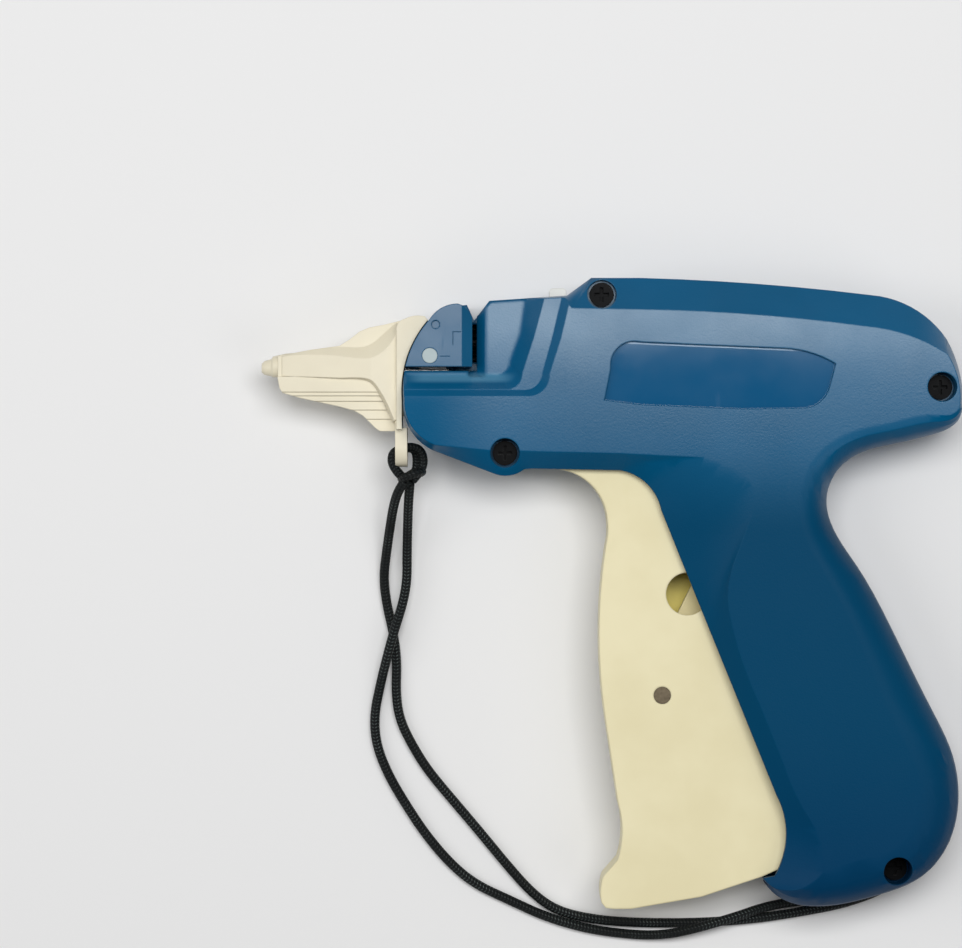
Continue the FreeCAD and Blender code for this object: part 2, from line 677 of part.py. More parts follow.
def needle_block():
    """The dome over the needle's root, with a foot that holds the needle's hub."""
    low = size.needle_y + 0.6
    dome = slab("dome", dome_outline(low, size.slit_x), "half_width + channel_half + fit",
                "block_face - channel_half - fit")
    back = slab("block_core", dome_outline(size.block_low_y, size.block_rear_x),
                "half_width - block_back", "block_back + channel_half + fit")
    foot_y, lip_y, rear = size.block_low_y, size.block_lip_y, size.block_rear_x
    foot = slab("block_lip", along((front_x(foot_y), foot_y), [
        (front_x(lip_y), lip_y), (rear, lip_y), (rear, foot_y)]), "half_width", "block_foot")
    hub_space = box("hub_space", "hub_front_x - running_gap", "needle_y - hub_size / 2 - running_gap",
                    "half_width - hub_size / 2 - running_gap", "hub_length + 2 * running_gap",
                    "hub_size + 2 * running_gap", "hub_size + 2 * running_gap")
    needle_way = rod("needle_way", "-60", "needle_y", "half_width", "needle_radius + running_gap",
                     "60 + block_rear_x + 1", "x")
    peg_way = rod("block_peg_hole", "-60", "peg_high_y", "half_width", "peg_radius + 2 * fit",
                  "60 + hub_front_x + 4", "x")
    pin_way = rod("lock_pin_hole", "lock_pin_x", "lock_pin_y", "half_width + hub_size / 2 + fit",
                  "lock_pin_radius + running_gap / 2", "half_width")
    thread_way = box("thread_way", "-60", "needle_y - needle_slot / 2", "half_width",
                     "60 + block_rear_x + 1", "needle_slot", "half_width")
    dimple = rod("dimple", "lock_pin_x + 1.4", "lock_pin_y + 7.4", "half_width + block_face - 0.5",
                 "dimple_radius", "1")
    edge = size.slit_x
    low_rim, high_rim = (
        along((x, low - 1), [(edge + 1, low - 1), (edge + 1, BEYOND_Y), (x, BEYOND_Y)])
        for x in (edge, edge - size.facet_width))
    facet = frustum("block_facet", low_rim, "half_width + block_face - facet_depth",
                    high_rim, "half_width + block_face")
    whole = fused("block_body", dome, back, foot)
    return cut("needle_block", whole, facet, hub_space, needle_way, peg_way, pin_way, thread_way,
               dimple)


def needle():
    tube = rod("needle_tube", "needle_tip_x", "needle_y", "half_width", "needle_radius",
               "needle_root_x - needle_tip_x", "x")
    bore = rod("needle_hollow", "needle_tip_x - 1", "needle_y", "half_width", "needle_bore",
               "needle_root_x - needle_tip_x + 2", "x")
    slot = box("needle_slit", "needle_tip_x - 1", "needle_y - needle_slot / 2", "half_width",
               "needle_root_x - needle_tip_x + 2", "needle_slot", "2 * needle_radius")
    x, y, reach = size.needle_tip_x, size.needle_y, size.needle_radius * 1.1
    point = slab("needle_point", along((x - 1, y - reach), [
        (x, y - reach), (x + size.needle_bevel, y + reach), (x - 1, y + reach)]),
        "half_width - 2 * needle_radius", "4 * needle_radius")
    return cut("needle", tube, bore, slot, point)


def needle_hub():
    block = box("hub_block", "hub_front_x", "needle_y - hub_size / 2", "half_width - hub_size / 2",
                "hub_length", "hub_size", "hub_size")
    bore = rod("hub_bore", "hub_front_x - 1", "needle_y", "half_width", "needle_radius",
               "hub_length + 2", "x")
    slot = box("hub_slot", "hub_front_x - 1", "needle_y - needle_slot / 2", "half_width", "hub_length + 2",
               "needle_slot", "hub_size")
    return cut("needle_hub", block, bore, slot)


def feed_wheel():
    """A star wheel; its teeth reach into the channel between the fasteners' bars."""
    teeth = int(size.wheel_teeth)
    pitch = 2 * math.pi / teeth
    first = math.radians(225) + pitch / 2
    rim = []
    for tooth in range(teeth):
        angle = first + tooth * pitch
        for turn, radius in ((-0.28, size.wheel_root), (-0.1, size.wheel_radius),
                             (0.1, size.wheel_radius), (0.28, size.wheel_root)):
            rim.append((radius * math.cos(angle + turn * pitch), radius * math.sin(angle + turn * pitch)))
    star = document.addObject("Part::Extrusion", "wheel_star")
    outline = document.addObject("Sketcher::SketchObject", "wheel_outline")
    outline.addGeometry(along(rim[0], rim[1:]))
    outline.Placement.Rotation = FreeCAD.Rotation(Vector(1, 1, 1), 120)
    bind(outline, Placement__Base__x="slit_x - wheel_thick / 2", Placement__Base__y="wheel_y",
         Placement__Base__z="half_width - wheel_drop")
    star.Base = outline
    star.DirMode = "Custom"
    star.Dir = Vector(1, 0, 0)
    star.Solid = True
    bind(star, LengthFwd="wheel_thick")
    bore = rod("wheel_bore", "slit_x - wheel_thick", "wheel_y", "half_width - wheel_drop",
               "axle_radius + running_gap", "2 * wheel_thick", "x")
    return cut("feed_wheel", star, bore)


def feed_pawl():
    """A leaf spring whose tip rests between two teeth of the feed wheel."""
    thick = size.pawl_thick
    root = size.wheel_root + size.running_gap * 2
    tip = (root * math.cos(math.radians(225)), root * math.sin(math.radians(225)))
    foot = (-size.wheel_radius - 0.3, -size.wheel_radius - 0.55)
    lean = math.atan2(tip[1] - foot[1] - thick, tip[0] - foot[0])
    side = (thick * math.sin(lean), -thick * math.cos(lean))
    outline = document.addObject("Sketcher::SketchObject", "pawl_outline")
    outline.addGeometry(along(foot, [
        (foot[0] + 5 * thick, foot[1]), (foot[0] + 5 * thick, foot[1] + thick),
        (foot[0] + 2 * thick, foot[1] + thick), (tip[0] + side[0], tip[1] + side[1]), tip,
        (foot[0], foot[1] + thick)]))
    outline.Placement.Rotation = FreeCAD.Rotation(Vector(1, 1, 1), 120)
    bind(outline, Placement__Base__x="slit_x - pawl_width / 2", Placement__Base__y="wheel_y",
         Placement__Base__z="half_width - wheel_drop")
    leaf = document.addObject("Part::Extrusion", "feed_pawl")
    leaf.Base = outline
    leaf.DirMode = "Custom"
    leaf.Dir = Vector(1, 0, 0)
    leaf.Solid = True
    return bind(leaf, LengthFwd="pawl_width")


def release_button():
    half, x = size.button_half_length, size.button_x
    top, low = size.button_top, size.button_flange_top - size.button_flange_height
    flange = size.button_flange
    cap = slab("button_cap", along((x - half, low), [
        (x - half, top - 0.8), (x - half + 0.25, top - 0.25, x - half + 0.8, top),
        (x + half - 0.8, top), (x + half - 0.25, top - 0.25, x + half, top - 0.8),
        (x + half, low)]), "half_width - button_half", "2 * button_half")
    plate = slab("button_plate", along((x - half - flange, low), [
        (x - half - flange, size.button_flange_top), (x + half + flange, size.button_flange_top),
        (x + half + flange, low)]), "half_width - button_half - flange_lip",
        "2 * (button_half + flange_lip)")
    return fused("release_button", cap, plate)


def prism_section(name, corners, radius, centre, heading):
    """A regular outline square to a heading."""
    section = document.addObject("Part::RegularPolygon", name)
    section.Polygon = corners
    section.Circumradius = radius
    section.Placement = FreeCAD.Placement(centre, FreeCAD.Rotation(Vector(0, 0, 1), heading))
    return section


def coil(name, radius, wire, turns, length):
    """A coil spring along its own Z axis, from the origin."""
    each = 12
    count = round(turns * each)
    angles = [math.tau * step / each for step in range(count + 1)]
    points = [Vector(radius * math.cos(angle), radius * math.sin(angle), length * step / count)
              for step, angle in enumerate(angles)]
    line = document.addObject("Part::Polygon", name + "_line")
    line.Nodes = points
    wound = document.addObject("Part::Sweep", name)
    wound.Sections = [prism_section(name + "_section", 6, wire * 1.08, points[0], points[1] - points[0])]
    wound.Spine = (line, [f"Edge{step + 1}" for step in range(count)])
    wound.Solid = True
    wound.Transition = "Right corner"
    return wound


def button_spring():
    foot = "button_flange_top + 2 * fit - button_well + button_spring_wire + running_gap"
    height = (size.button_well - size.button_flange_height - 2 * (size.fit + size.button_spring_wire)
              - 2 * size.running_gap)
    spring = coil("button_spring", size.button_spring_radius, size.button_spring_wire,
                  size.button_spring_turns, height)
    spring.Placement.Rotation = FreeCAD.Rotation(Vector(1, 0, 0), -90)
    return bind(spring, Placement__Base__x="button_x", Placement__Base__y=foot,
                Placement__Base__z="half_width")


def return_spring():
    """The compression spring between the trigger's front wall and the seat in the grip."""
    rise = size.seat_y - size.spring_front_y
    run = size.seat_x - size.spring_front_x
    lean = math.degrees(math.atan2(rise, run))
    spring = coil("return_spring", size.spring_radius, size.spring_wire, size.spring_turns,
                  math.hypot(rise, run) - 3 * size.spring_wire)
    spring.Placement.Rotation = (FreeCAD.Rotation(Vector(0, 0, 1), lean)
                                 * FreeCAD.Rotation(Vector(0, 1, 0), 90))
    return bind(spring, Placement__Base__x="spring_front_x", Placement__Base__y="spring_front_y",
                Placement__Base__z="half_width")


# ---------------------------------------------------------------- trigger and drive

TRIGGER = ((-12.2, 29.6), [
    (-5.5, 26.6, -1.3, 19.8), (-0.8, 16.2, -1.3, 11.4), (-2.9, -7.0, -1.3, -30.8), (1.6, -50.1),
    (2.6, -58.0, 1.6, -63.8), (-1.9, -67.8), (-2.6, -71.5, -2.3, -74.2), (-1.3, -75.4), (0.4, -75.6),
    (4.7, -75.6), (21.6, -72.7), (36.0, -67.9), (42.5, -65.0), (44.5, -60.0), (31.0, -22.0),
    (26.0, -5.0), (22.0, 10.0), (14.0, 24.0), (8.0, 33.0), (0.0, 41.0, -6.5, 34.5), (-9.0, 31.2)])
TRIGGER_HOLLOW = ((2.0, 17.0), [
    (1.7, 11.4), (0.1, -7.0, 1.7, -30.8), (4.6, -50.1), (5.4, -58.0), (5.0, -66.0), (22.0, -67.0),
    (37.0, -65.6), (40.0, -65.2), (41.0, -72.0), (52.0, -72.0), (52.0, 20.0), (12.0, 22.0)])
PIVOT = (size.trigger_pivot_x, size.trigger_pivot_y)
LINK = (size.link_x, size.link_y)
LEVER = (size.lever_x, size.lever_y)


def link_from_lever(share):
    """The link pin's distance and heading from the lever's pivot at a share of the swing."""
    x, y = turned(LINK, PIVOT, swing * share)
    return math.dist((x, y), LEVER), math.atan2(y - LEVER[1], x - LEVER[0])


lever_swing = link_from_lever(1)[1] - link_from_lever(0)[1]
pin_rise = size.carriage_pin_y - size.lever_y
carriage_pin_x = size.lever_x + pin_rise * math.tan(lever_swing / 2)
stroke = 2 * pin_rise * math.tan(lever_swing / 2)


def trigger():
    solid = slab("trigger_solid", along(*TRIGGER), "half_width - trigger_half", "2 * trigger_half")
    hollow = slab("trigger_hollow", along(*TRIGGER_HOLLOW), "half_width - trigger_half + trigger_wall",
                  "2 * (trigger_half - trigger_wall)")
    window = rod("trigger_window", "window_x", "window_y", "half_width", "window_radius",
                 "half_width")
    pivot = rod("trigger_pivot_hole", "trigger_pivot_x", "trigger_pivot_y", "0",
                "pivot_radius + running_gap", "2 * half_width")
    link = rod("trigger_link_hole", "link_x", "link_y", "0", "link_radius + running_gap / 2",
               "2 * half_width")
    way = "lever_half + cheek_gap + 0.1"
    lever_way = box("trigger_lever_way", "lever_way_x", "lever_way_y", f"half_width - ({way})",
                    "lever_x + lever_hub - lever_way_x",
                    "trigger_pivot_y + lever_hub - lever_way_y", f"2 * ({way})")
    return cut("trigger", solid, hollow, lever_way, window, pivot, link)


def lever_point(reach, heading):
    return (LEVER[0] + reach * math.cos(heading), LEVER[1] + reach * math.sin(heading))


def drive_lever():
    """The lever whose slots turn the trigger's pull into the carriage's stroke."""
    low, thick = "half_width - lever_half", "2 * lever_half"
    reach, down = link_from_lever(0)
    up = math.pi / 2 - lever_swing / 2
    far = pin_rise / math.cos(lever_swing / 2)
    lower_end, upper_end = lever_point(reach, down), lever_point((far + pin_rise) / 2, up)
    lower = slab("lever_lower", capsule(LEVER, lower_end, size.lever_hub, size.lever_arm), low, thick)
    upper = slab("lever_upper", capsule(LEVER, upper_end, size.lever_hub, size.lever_arm), low, thick)
    trace = []
    for share in (0, 0.5, 1):
        distance, heading = link_from_lever(share)
        trace.append(lever_point(distance, heading - lever_swing * share))
    link_slot = slab("link_slot", arc_slot(*trace, size.link_radius + size.slot_gap), low, thick)
    half = size.carriage_pin_radius + size.slot_gap
    pin_slot = slab("pin_slot", capsule(lever_point(pin_rise, up), lever_point(far, up), half),
                    low, thick)
    pivot = rod("lever_hole", "lever_x", "lever_y", "0", "lever_pin_radius + running_gap",
                "2 * half_width")
    return cut("drive_lever", fused("lever_body", lower, upper), link_slot, pin_slot, pivot)


def carriage():
    """The block that slides along the barrel and pushes the rod."""
    pin = f"{carriage_pin_x:.4f}"
    block = box("carriage_block", f"{pin} - carriage_front", "carriage_low", "half_width - carriage_half",
                "carriage_front + carriage_rear", "carriage_high - carriage_low", "2 * carriage_half")
    gap = "lever_half + cheek_gap + 0.3"
    way = box("carriage_lever_way", f"{pin} - carriage_front + carriage_bridge",
              "carriage_low - running_gap", f"half_width - ({gap})",
              "carriage_front + carriage_rear", "carriage_high - carriage_low + 2 * running_gap",
              f"2 * ({gap})")
    pocket = box("carriage_pocket", f"{pin} - carriage_front + carriage_pocket_x",
                 "carriage_low + carriage_wall", "half_width - carriage_half + carriage_skin",
                 "carriage_pocket_length", "carriage_high - carriage_low - 2 * carriage_wall",
                 "2 * (carriage_half - carriage_skin)")
    pin_hole = rod("carriage_pin_hole", pin, "carriage_pin_y", "0", "carriage_pin_radius + running_gap / 2",
                   "2 * half_width")
    rod_hole = rod("rod_hole", f"{pin} - carriage_front - 1", "needle_y", "half_width",
                   "rod_radius + running_gap / 2", "carriage_bridge + 1.5", "x")
    return cut("carriage", block, way, pocket, pin_hole, rod_hole)


# ---------------------------------------------------------------- needle cap

CAP_SECTIONS = [(-84.0, 54.0, 1.1), (-83.3, 54.05, 1.7), (-81.7, 54.1, 2.1), (-81.3, 54.3, 2.5),
                (-78.4, 54.6, 2.9), (-72.4, 54.8, 3.2), (-52.0, 54.8, 3.2)]
CAP_WEB = [(-80.0, 56.8), (-72.4, 58.3), (-65.2, 59.3), (-62.8, 60.8), (-60.4, 62.7), (-58.0, 63.7),
           (-54.3, 64.4), (-50.7, 65.3)]
CAP_WEB_LOW = [(-52.4, 41.5), (-53.4, 43.2), (-54.8, 46.1), (-56.3, 48.5), (-58.0, 50.4),
               (-59.9, 51.1), (-65.2, 51.3), (-80.0, 51.9)]
# The raised band along the cap: its foot on the web and its own flat face.
BAND_FOOT = ((-79.0, 52.0), [
    (-65.2, 51.3), [(-59.9, 51.1), (-58.0, 50.4), (-56.3, 48.5), (-54.8, 46.1), (-52.4, 41.0)],
    (-51.4, 41.0), (-51.4, 64.9),
    [(-55.0, 61.8), (-58.2, 59.4), (-64.0, 59.0), (-72.4, 58.2), (-79.0, 56.8)]])
BAND_FACE = ((-79.0, 52.3), [
    (-65.2, 51.7), [(-59.7, 51.6), (-57.4, 50.9), (-55.7, 48.9), (-54.2, 46.4), (-52.0, 41.4)],
    (-51.4, 41.4), (-51.4, 63.0),
    [(-54.0, 58.5), (-57.0, 56.5), (-62.0, 55.7), (-72.4, 55.5), (-79.0, 55.3)]])
# How far the cap's sides stand from the seam along its length.
CAP_TAPER = [(-90.0, 3.1), (-79.0, 3.1), (-72.4, 3.8), (-65.0, 4.5), (-57.5, 5.4), (-53.0, 6.4),
             (-50.0, 7.4)]
CAP_FIN = ((-80.1, 51.9), [
    (-79.6, 49.2), (-78.9, 48.0), (-74.8, 46.8), (-65.2, 44.7), (-61.6, 43.7), (-59.6, 42.5),
    (-56.7, 39.6), (-55.5, 38.8), (-51.0, 38.8), (-51.0, 51.9)])
FIN_STEPS = [(38.0, 0.9), (41.7, 1.4), (43.9, 1.9), (46.0, 2.4), (47.3, 2.9), (48.2, 3.4)]


def cap_inner(y):
    """The cap's rear face, which follows the nose with a gap."""
    if y >= NOSE_FOOT[1]:
        return front_x(y, size.cap_gap)
    return NOSE_FOOT[0] - size.cap_gap


def cap_taper():
    """A wedge across the cap that narrows towards its tip."""
    outline = document.addObject("Sketcher::SketchObject", "taper_outline")
    sides = CAP_TAPER + [(x, -half) for x, half in reversed(CAP_TAPER)]
    outline.addGeometry(along(sides[0], sides[1:]))
    outline.Placement.Rotation = FreeCAD.Rotation(Vector(1, 0, 0), 90)
    bind(outline, Placement__Base__z="half_width", Placement__Base__y="flange_low_y - wall")
    wedge = document.addObject("Part::Extrusion", "cap_wedge")
    wedge.Base = outline
    wedge.DirMode = "Custom"
    wedge.Dir = Vector(0, 1, 0)
    wedge.Solid = True
    return bind(wedge, LengthFwd="3 * half_width")


def needle_cap():
    sections = []
    for number, (x, y, radius) in enumerate(CAP_SECTIONS):
        ring = document.addObject("Sketcher::SketchObject", f"cap_ring{number}")
        ring.addGeometry(circle(0, 0, radius))
        ring.Placement = FreeCAD.Placement(Vector(x, y, 0), FreeCAD.Rotation(Vector(0, 1, 0), 90))
        sections.append(bind(ring, Placement__Base__z="half_width"))
    core = document.addObject("Part::Loft", "cap_core")
    core.Sections = sections
    core.Solid = True
    core.Ruled = True
    web = slab("cap_web", along(CAP_WEB[0], CAP_WEB[1:] + CAP_WEB_LOW), "half_width - cap_web_half",
               "2 * cap_web_half")
    band = frustum("cap_band", along(*BAND_FOOT), "half_width + cap_web_half",
                   along(*BAND_FACE), "half_width + cap_face_half")
    sides = document.addObject("Part::Common", "cap_sides")
    sides.Base = fused("cap_sides_whole", web, band, mirrored("cap_band_right", band))
    sides.Tool = cap_taper()
    fins = []
    for number, (level, half) in enumerate(FIN_STEPS):
        plate = slab(f"fin_plate{number}", along(*CAP_FIN), f"half_width - {half}", f"2 * {half}")
        reach = box(f"fin_level{number}", "-90", str(level), "0", "60", "60", "2 * half_width")
        step = document.addObject("Part::Common", f"fin{number}")
        step.Base = plate
        step.Tool = reach
        fins.append(step)
    foot, middle, top = NOSE_FOOT[1], NOSE_MIDDLE[1], NOSE_TOP[1]
    low_y = size.flange_low_y
    flange = slab("cap_flange", along((cap_inner(low_y), low_y), [
        (-51.4, low_y), (-51.4, 62.6), (-51.0, 64.6, -49.4, 65.6), (-47.4, 66.3, -44.6, 66.2),
        (cap_inner(top), top), (cap_inner(middle), middle, cap_inner(foot), foot)]),
        "half_width - flange_half", "2 * flange_half")
    tab = box("tab_block", "tab_front_x", "tab_low_y + tab_half", "half_width - tab_half", "tab_thick",
              "tab_high_y - tab_low_y - tab_half", "2 * tab_half")
    tab_end = rod("tab_end", "tab_front_x", "tab_low_y + tab_half", "half_width", "tab_half",
                  "tab_thick", "x")
    root = box("tab_root", "tab_front_x", "flange_low_y - fit", "half_width - tab_half", "cap_root",
               "2 * cap_root", "2 * tab_half")
    pegs = [rod(f"peg_{name}", "-51.0", f"peg_{name}_y", "half_width", "peg_radius",
                f"51.0 + {front_x(getattr(size, f'peg_{name}_y')):.4f} + peg_length", "x")
            for name in ("high", "low")]
    bore = rod("cap_bore_way", "needle_tip_x - 1", "needle_y", "half_width", "cap_bore", "40", "x")
    spread = "eye_half_width - eye_half_height"
    eye = [box("eye_middle", "-60", "eye_y - eye_half_height", f"half_width - ({spread})", "15",
               "2 * eye_half_height", f"2 * ({spread})")]
    for number, turn in enumerate((-1, 1)):
        eye.append(rod(f"eye_end{number}", "-60", "eye_y", f"half_width + {turn} * ({spread})",
                       "eye_half_height", "15", "x"))
    body = fused("cap_body", core, sides, flange, tab, tab_end, root, *fins)
    return cut("needle_cap", fused("cap_pegged", body, *pegs), bore, *eye)


# ---------------------------------------------------------------- lanyard

# Each strand's points, from the hitch below the cap's eye to the end under the butt.
STRAND_INNER = [(-48.7, 24.2, 11.75), (-48.9, 15.5, 6.5), (-49.0, 5.0, 3.8), (-50.6, -5.0, 4.1),
                (-54.0, -16.0, 4.1), (-56.4, -27.5, 1.4), (-56.1, -39.5, 1.2), (-47.6, -54.5, 1.2),
                (-36.9, -68.7, 1.2), (-21.8, -77.4, 1.2), (-6.5, -83.0, 1.2), (6.5, -84.5, 1.3),
                (17.5, -83.0, 4.0), (30.0, -79.5, 4.3), (39.0, -76.7, 1.7), (48.0, -75.6, 1.2),
                (57.5, -73.7, 1.2), (67.4, -69.7, 1.2), (76.5, -63.2, 1.2)]
STRAND_OUTER = [(-50.9, 24.2, 14.0), (-53.2, 15.5, 6.5), (-55.4, 3.0, 1.3), (-52.2, -10.5, 1.2),
                (-51.4, -28.0, 1.2), (-45.6, -43.5, 1.2), (-34.5, -56.3, 1.2), (-24.5, -69.0, 1.2),
                (-12.5, -78.0, 1.2), (4.0, -81.1, 1.2), (20.0, -81.1, 1.2), (33.8, -80.3, 1.2),
                (46.1, -78.5, 1.2), (57.9, -76.3, 1.2), (68.9, -72.1, 1.2), (78.4, -65.0, 1.2)]
CORD_SIDES = 8
END_OUTLINE = ((79.6, -65.5), [
    (82.8, -60.4), (83.3, -57.4, 81.6, -56.6), (79.6, -58.0), (76.3, -62.2)])


def cord_line(points):
    """Straight runs joined by tangent arcs."""
    spots = [Vector(*point) for point in points]
    edges, here = [], spots[0]
    for before, corner, after in zip(spots, spots[1:], spots[2:]):
        back, ahead = (before - corner), (after - corner)
        trim = 0.45 * min(back.Length, ahead.Length)
        start = corner + back.normalize() * trim
        end = corner + ahead.normalize() * trim
        half = (math.pi - back.getAngle(ahead)) / 2
        middle = (start + end) / 2
        radius = trim / math.tan(half)
        inward = (middle - corner).normalize()
        centre = corner + inward * (radius / math.cos(half))
        edges.append(Part.makeLine(here, start))
        edges.append(Part.Arc(start, centre - inward * radius, end).toShape())
        here = end
    edges.append(Part.makeLine(here, spots[-1]))
    return Part.Wire(edges)


def strand(name, points):
    """A cord of round section along its points."""
    line = cord_line(points)
    first = Vector(*points[1]) - Vector(*points[0])
    turn = FreeCAD.Rotation(Vector(0, 0, 1), first)
    reach = size.cord_radius * 1.043
    corners = [Vector(*points[0]) + turn * Vector(reach * math.cos(math.tau * corner / CORD_SIDES),
                                                  reach * math.sin(math.tau * corner / CORD_SIDES), 0)
               for corner in range(CORD_SIDES + 1)]
    drawn = document.addObject("Part::Feature", name)
    drawn.Shape = line.makePipeShell([Part.makePolygon(corners)], True, True)
    return drawn


def cord_hitch():
    """The loops of the lanyard round the tab, and the bar that they pull tight."""
    x = "tab_front_x + tab_thick / 2"
    rings = []
    for number, turn in enumerate((-1, 1)):
        section = prism_section(f"hitch_section{number}", 6, size.cord_radius, Vector(0, 0, 0),
                                Vector(0, 1, 0))
        bind(section, Placement__Base__x="hitch_ring")
        ring = document.addObject("Part::Revolution", f"hitch_ring{number}")
        ring.Source = section
        ring.Axis = Vector(0, 0, 1)
        ring.Angle = 360
        ring.Solid = True
        rings.append(bind(ring, Placement__Base__x=x, Placement__Base__y="tab_low_y + hitch_rise",
                          Placement__Base__z=f"half_width + {turn} * hitch_spread"))
    bar = rod("hitch_bar", f"{x} + hitch_bar_x", "tab_low_y - hitch_rise", "half_width - hitch_bar_half",
              "cord_radius + hitch_swell", "2 * hitch_bar_half")
    knot = rod("hitch_knot", f"{x} + knot_x", "tab_low_y - knot_drop", "half_width - knot_half",
               "cord_radius + knot_swell", "2 * knot_half")
    return fused("cord_hitch", *rings, bar, knot)


def case_screws():
    """Four screws with a cross in the head."""
    pieces = []
    for number, (x, y, floor) in enumerate(SCREWS):
        base = f"half_width + {floor}"
        head = rod(f"screw_head{number}", str(x), str(y), base, "screw_head_radius", "screw_head_height")
        shank = rod(f"screw_shank{number}", str(x), str(y), f"{base} - screw_length", "screw_radius",
                    "screw_length")
        level = f"{base} + screw_head_height - cross_depth"
        slots = [box(f"screw_slot{number}_{way}", f"{x} - {dx} / 2", f"{y} - {dy} / 2", level, dx, dy, "3")
                 for way, (dx, dy) in enumerate((("cross_length", "cross_width"),
                                                 ("cross_width", "cross_length")))]
        pieces.append(cut(f"screw{number}", fused(f"screw_body{number}", head, shank), *slots))
    return fused("case_screws", *pieces)


keep("left_shell", left_shell())
keep("right_shell", right_shell())
keep("needle_block", needle_block())
keep("needle", needle())
keep("needle_hub", needle_hub())
keep("needle_lock_pin", rod("needle_lock_pin", "lock_pin_x", "lock_pin_y",
                            "half_width + hub_size / 2 + fit", "lock_pin_radius",
                            "block_face - hub_size / 2 - fit"))
keep("cutter_blade", box("cutter_blade", "blade_x", "needle_y - rod_radius - fit - blade_height",
                         "half_width - blade_half", "blade_thick", "blade_height", "2 * blade_half"))
keep("feed_wheel", feed_wheel())
keep("feed_wheel_axle", rod("feed_wheel_axle", "slit_x - axle_length / 2", "wheel_y",
                            "half_width - wheel_drop", "axle_radius", "axle_length", "x"))
keep("feed_pawl", feed_pawl())
keep("release_button", release_button())
keep("button_spring", button_spring())
keep("trigger", trigger())
keep("trigger_pivot_pin", rod("trigger_pivot_pin", "trigger_pivot_x", "trigger_pivot_y",
                              "half_width - trigger_half - boss_gap - boss_height + 0.7", "pivot_radius",
                              "2 * (trigger_half + boss_gap + boss_height - 0.7)"))
keep("trigger_link_pin", rod("trigger_link_pin", "link_x", "link_y", "half_width - trigger_half",
                             "link_radius", "2 * trigger_half"))
keep("drive_lever", drive_lever())
keep("lever_pivot_pin", rod("lever_pivot_pin", "lever_x", "lever_y",
                            "half_width - lever_half - cheek_gap - cheek_thick", "lever_pin_radius",
                            "2 * (lever_half + cheek_gap + cheek_thick)"))
keep("carriage", carriage())
keep("carriage_pin", rod("carriage_pin", f"{carriage_pin_x:.4f}", "carriage_pin_y",
                         "half_width - carriage_half + 1", "carriage_pin_radius",
                         "2 * (carriage_half - 1)"))
keep("push_rod", rod("push_rod", "rod_tip_x", "needle_y", "half_width", "rod_radius",
                     f"{carriage_pin_x:.4f} - carriage_front + carriage_bridge - rod_tip_x", "x"))
keep("return_spring", return_spring())
keep("needle_cap", needle_cap())
keep("cord_hitch", cord_hitch())
keep("cord_inner", strand("cord_inner", STRAND_INNER))
keep("cord_outer", strand("cord_outer", STRAND_OUTER))
keep("cord_end", slab("cord_end", along(*END_OUTLINE), "0.02", "2.4"))
keep("case_screws", case_screws())
document.recompute()

for item in document.Objects:
    if not {"Invalid", "Error"}.isdisjoint(item.State):
        raise RuntimeError(f"{item.Label}: {item.State}")
for node, item in parts.items():
    if item.Shape.isNull() or not item.Shape.isValid():
        raise RuntimeError(f"{node} has no valid shape")
os.makedirs("parts", exist_ok=True)
for node, item in parts.items():
    item.Shape.exportStep(f"parts/{node}.step")
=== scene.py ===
import math

import bmesh
import bpy
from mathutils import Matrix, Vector


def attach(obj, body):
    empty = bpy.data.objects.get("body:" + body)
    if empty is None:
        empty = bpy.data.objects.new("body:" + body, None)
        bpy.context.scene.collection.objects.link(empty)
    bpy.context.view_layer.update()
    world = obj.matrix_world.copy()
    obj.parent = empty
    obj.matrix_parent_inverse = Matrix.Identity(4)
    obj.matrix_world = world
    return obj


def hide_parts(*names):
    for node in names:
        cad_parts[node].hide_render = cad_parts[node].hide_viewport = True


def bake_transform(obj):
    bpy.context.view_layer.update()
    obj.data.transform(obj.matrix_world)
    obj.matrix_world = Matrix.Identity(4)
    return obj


# The garment tag attacher's looks. The CAD model gives the frame and most of the shapes. This script
# adds the materials, the braided lanyard, two springs, the stage, the light and the camera.

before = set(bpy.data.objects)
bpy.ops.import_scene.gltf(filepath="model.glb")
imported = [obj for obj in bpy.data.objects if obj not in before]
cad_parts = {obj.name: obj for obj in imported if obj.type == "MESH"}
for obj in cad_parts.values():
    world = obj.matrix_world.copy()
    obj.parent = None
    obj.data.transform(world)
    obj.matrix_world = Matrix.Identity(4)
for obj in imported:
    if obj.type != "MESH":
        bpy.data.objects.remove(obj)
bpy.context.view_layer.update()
scene = bpy.context.scene
scene.view_settings.view_transform = "Standard"
MM = 0.001
HALF_WIDTH = 13.0  # the height of the seam between the shells, in millimetres


# ---------------------------------------------------------------- shader nodes

def tint(red, green, blue):
    """A screen colour from 0 to 255 as Blender's linear colour."""
    def linear(value):
        value /= 255
        return value / 12.92 if value <= 0.04045 else ((value + 0.055) / 1.055) ** 2.4
    return (linear(red), linear(green), linear(blue), 1)


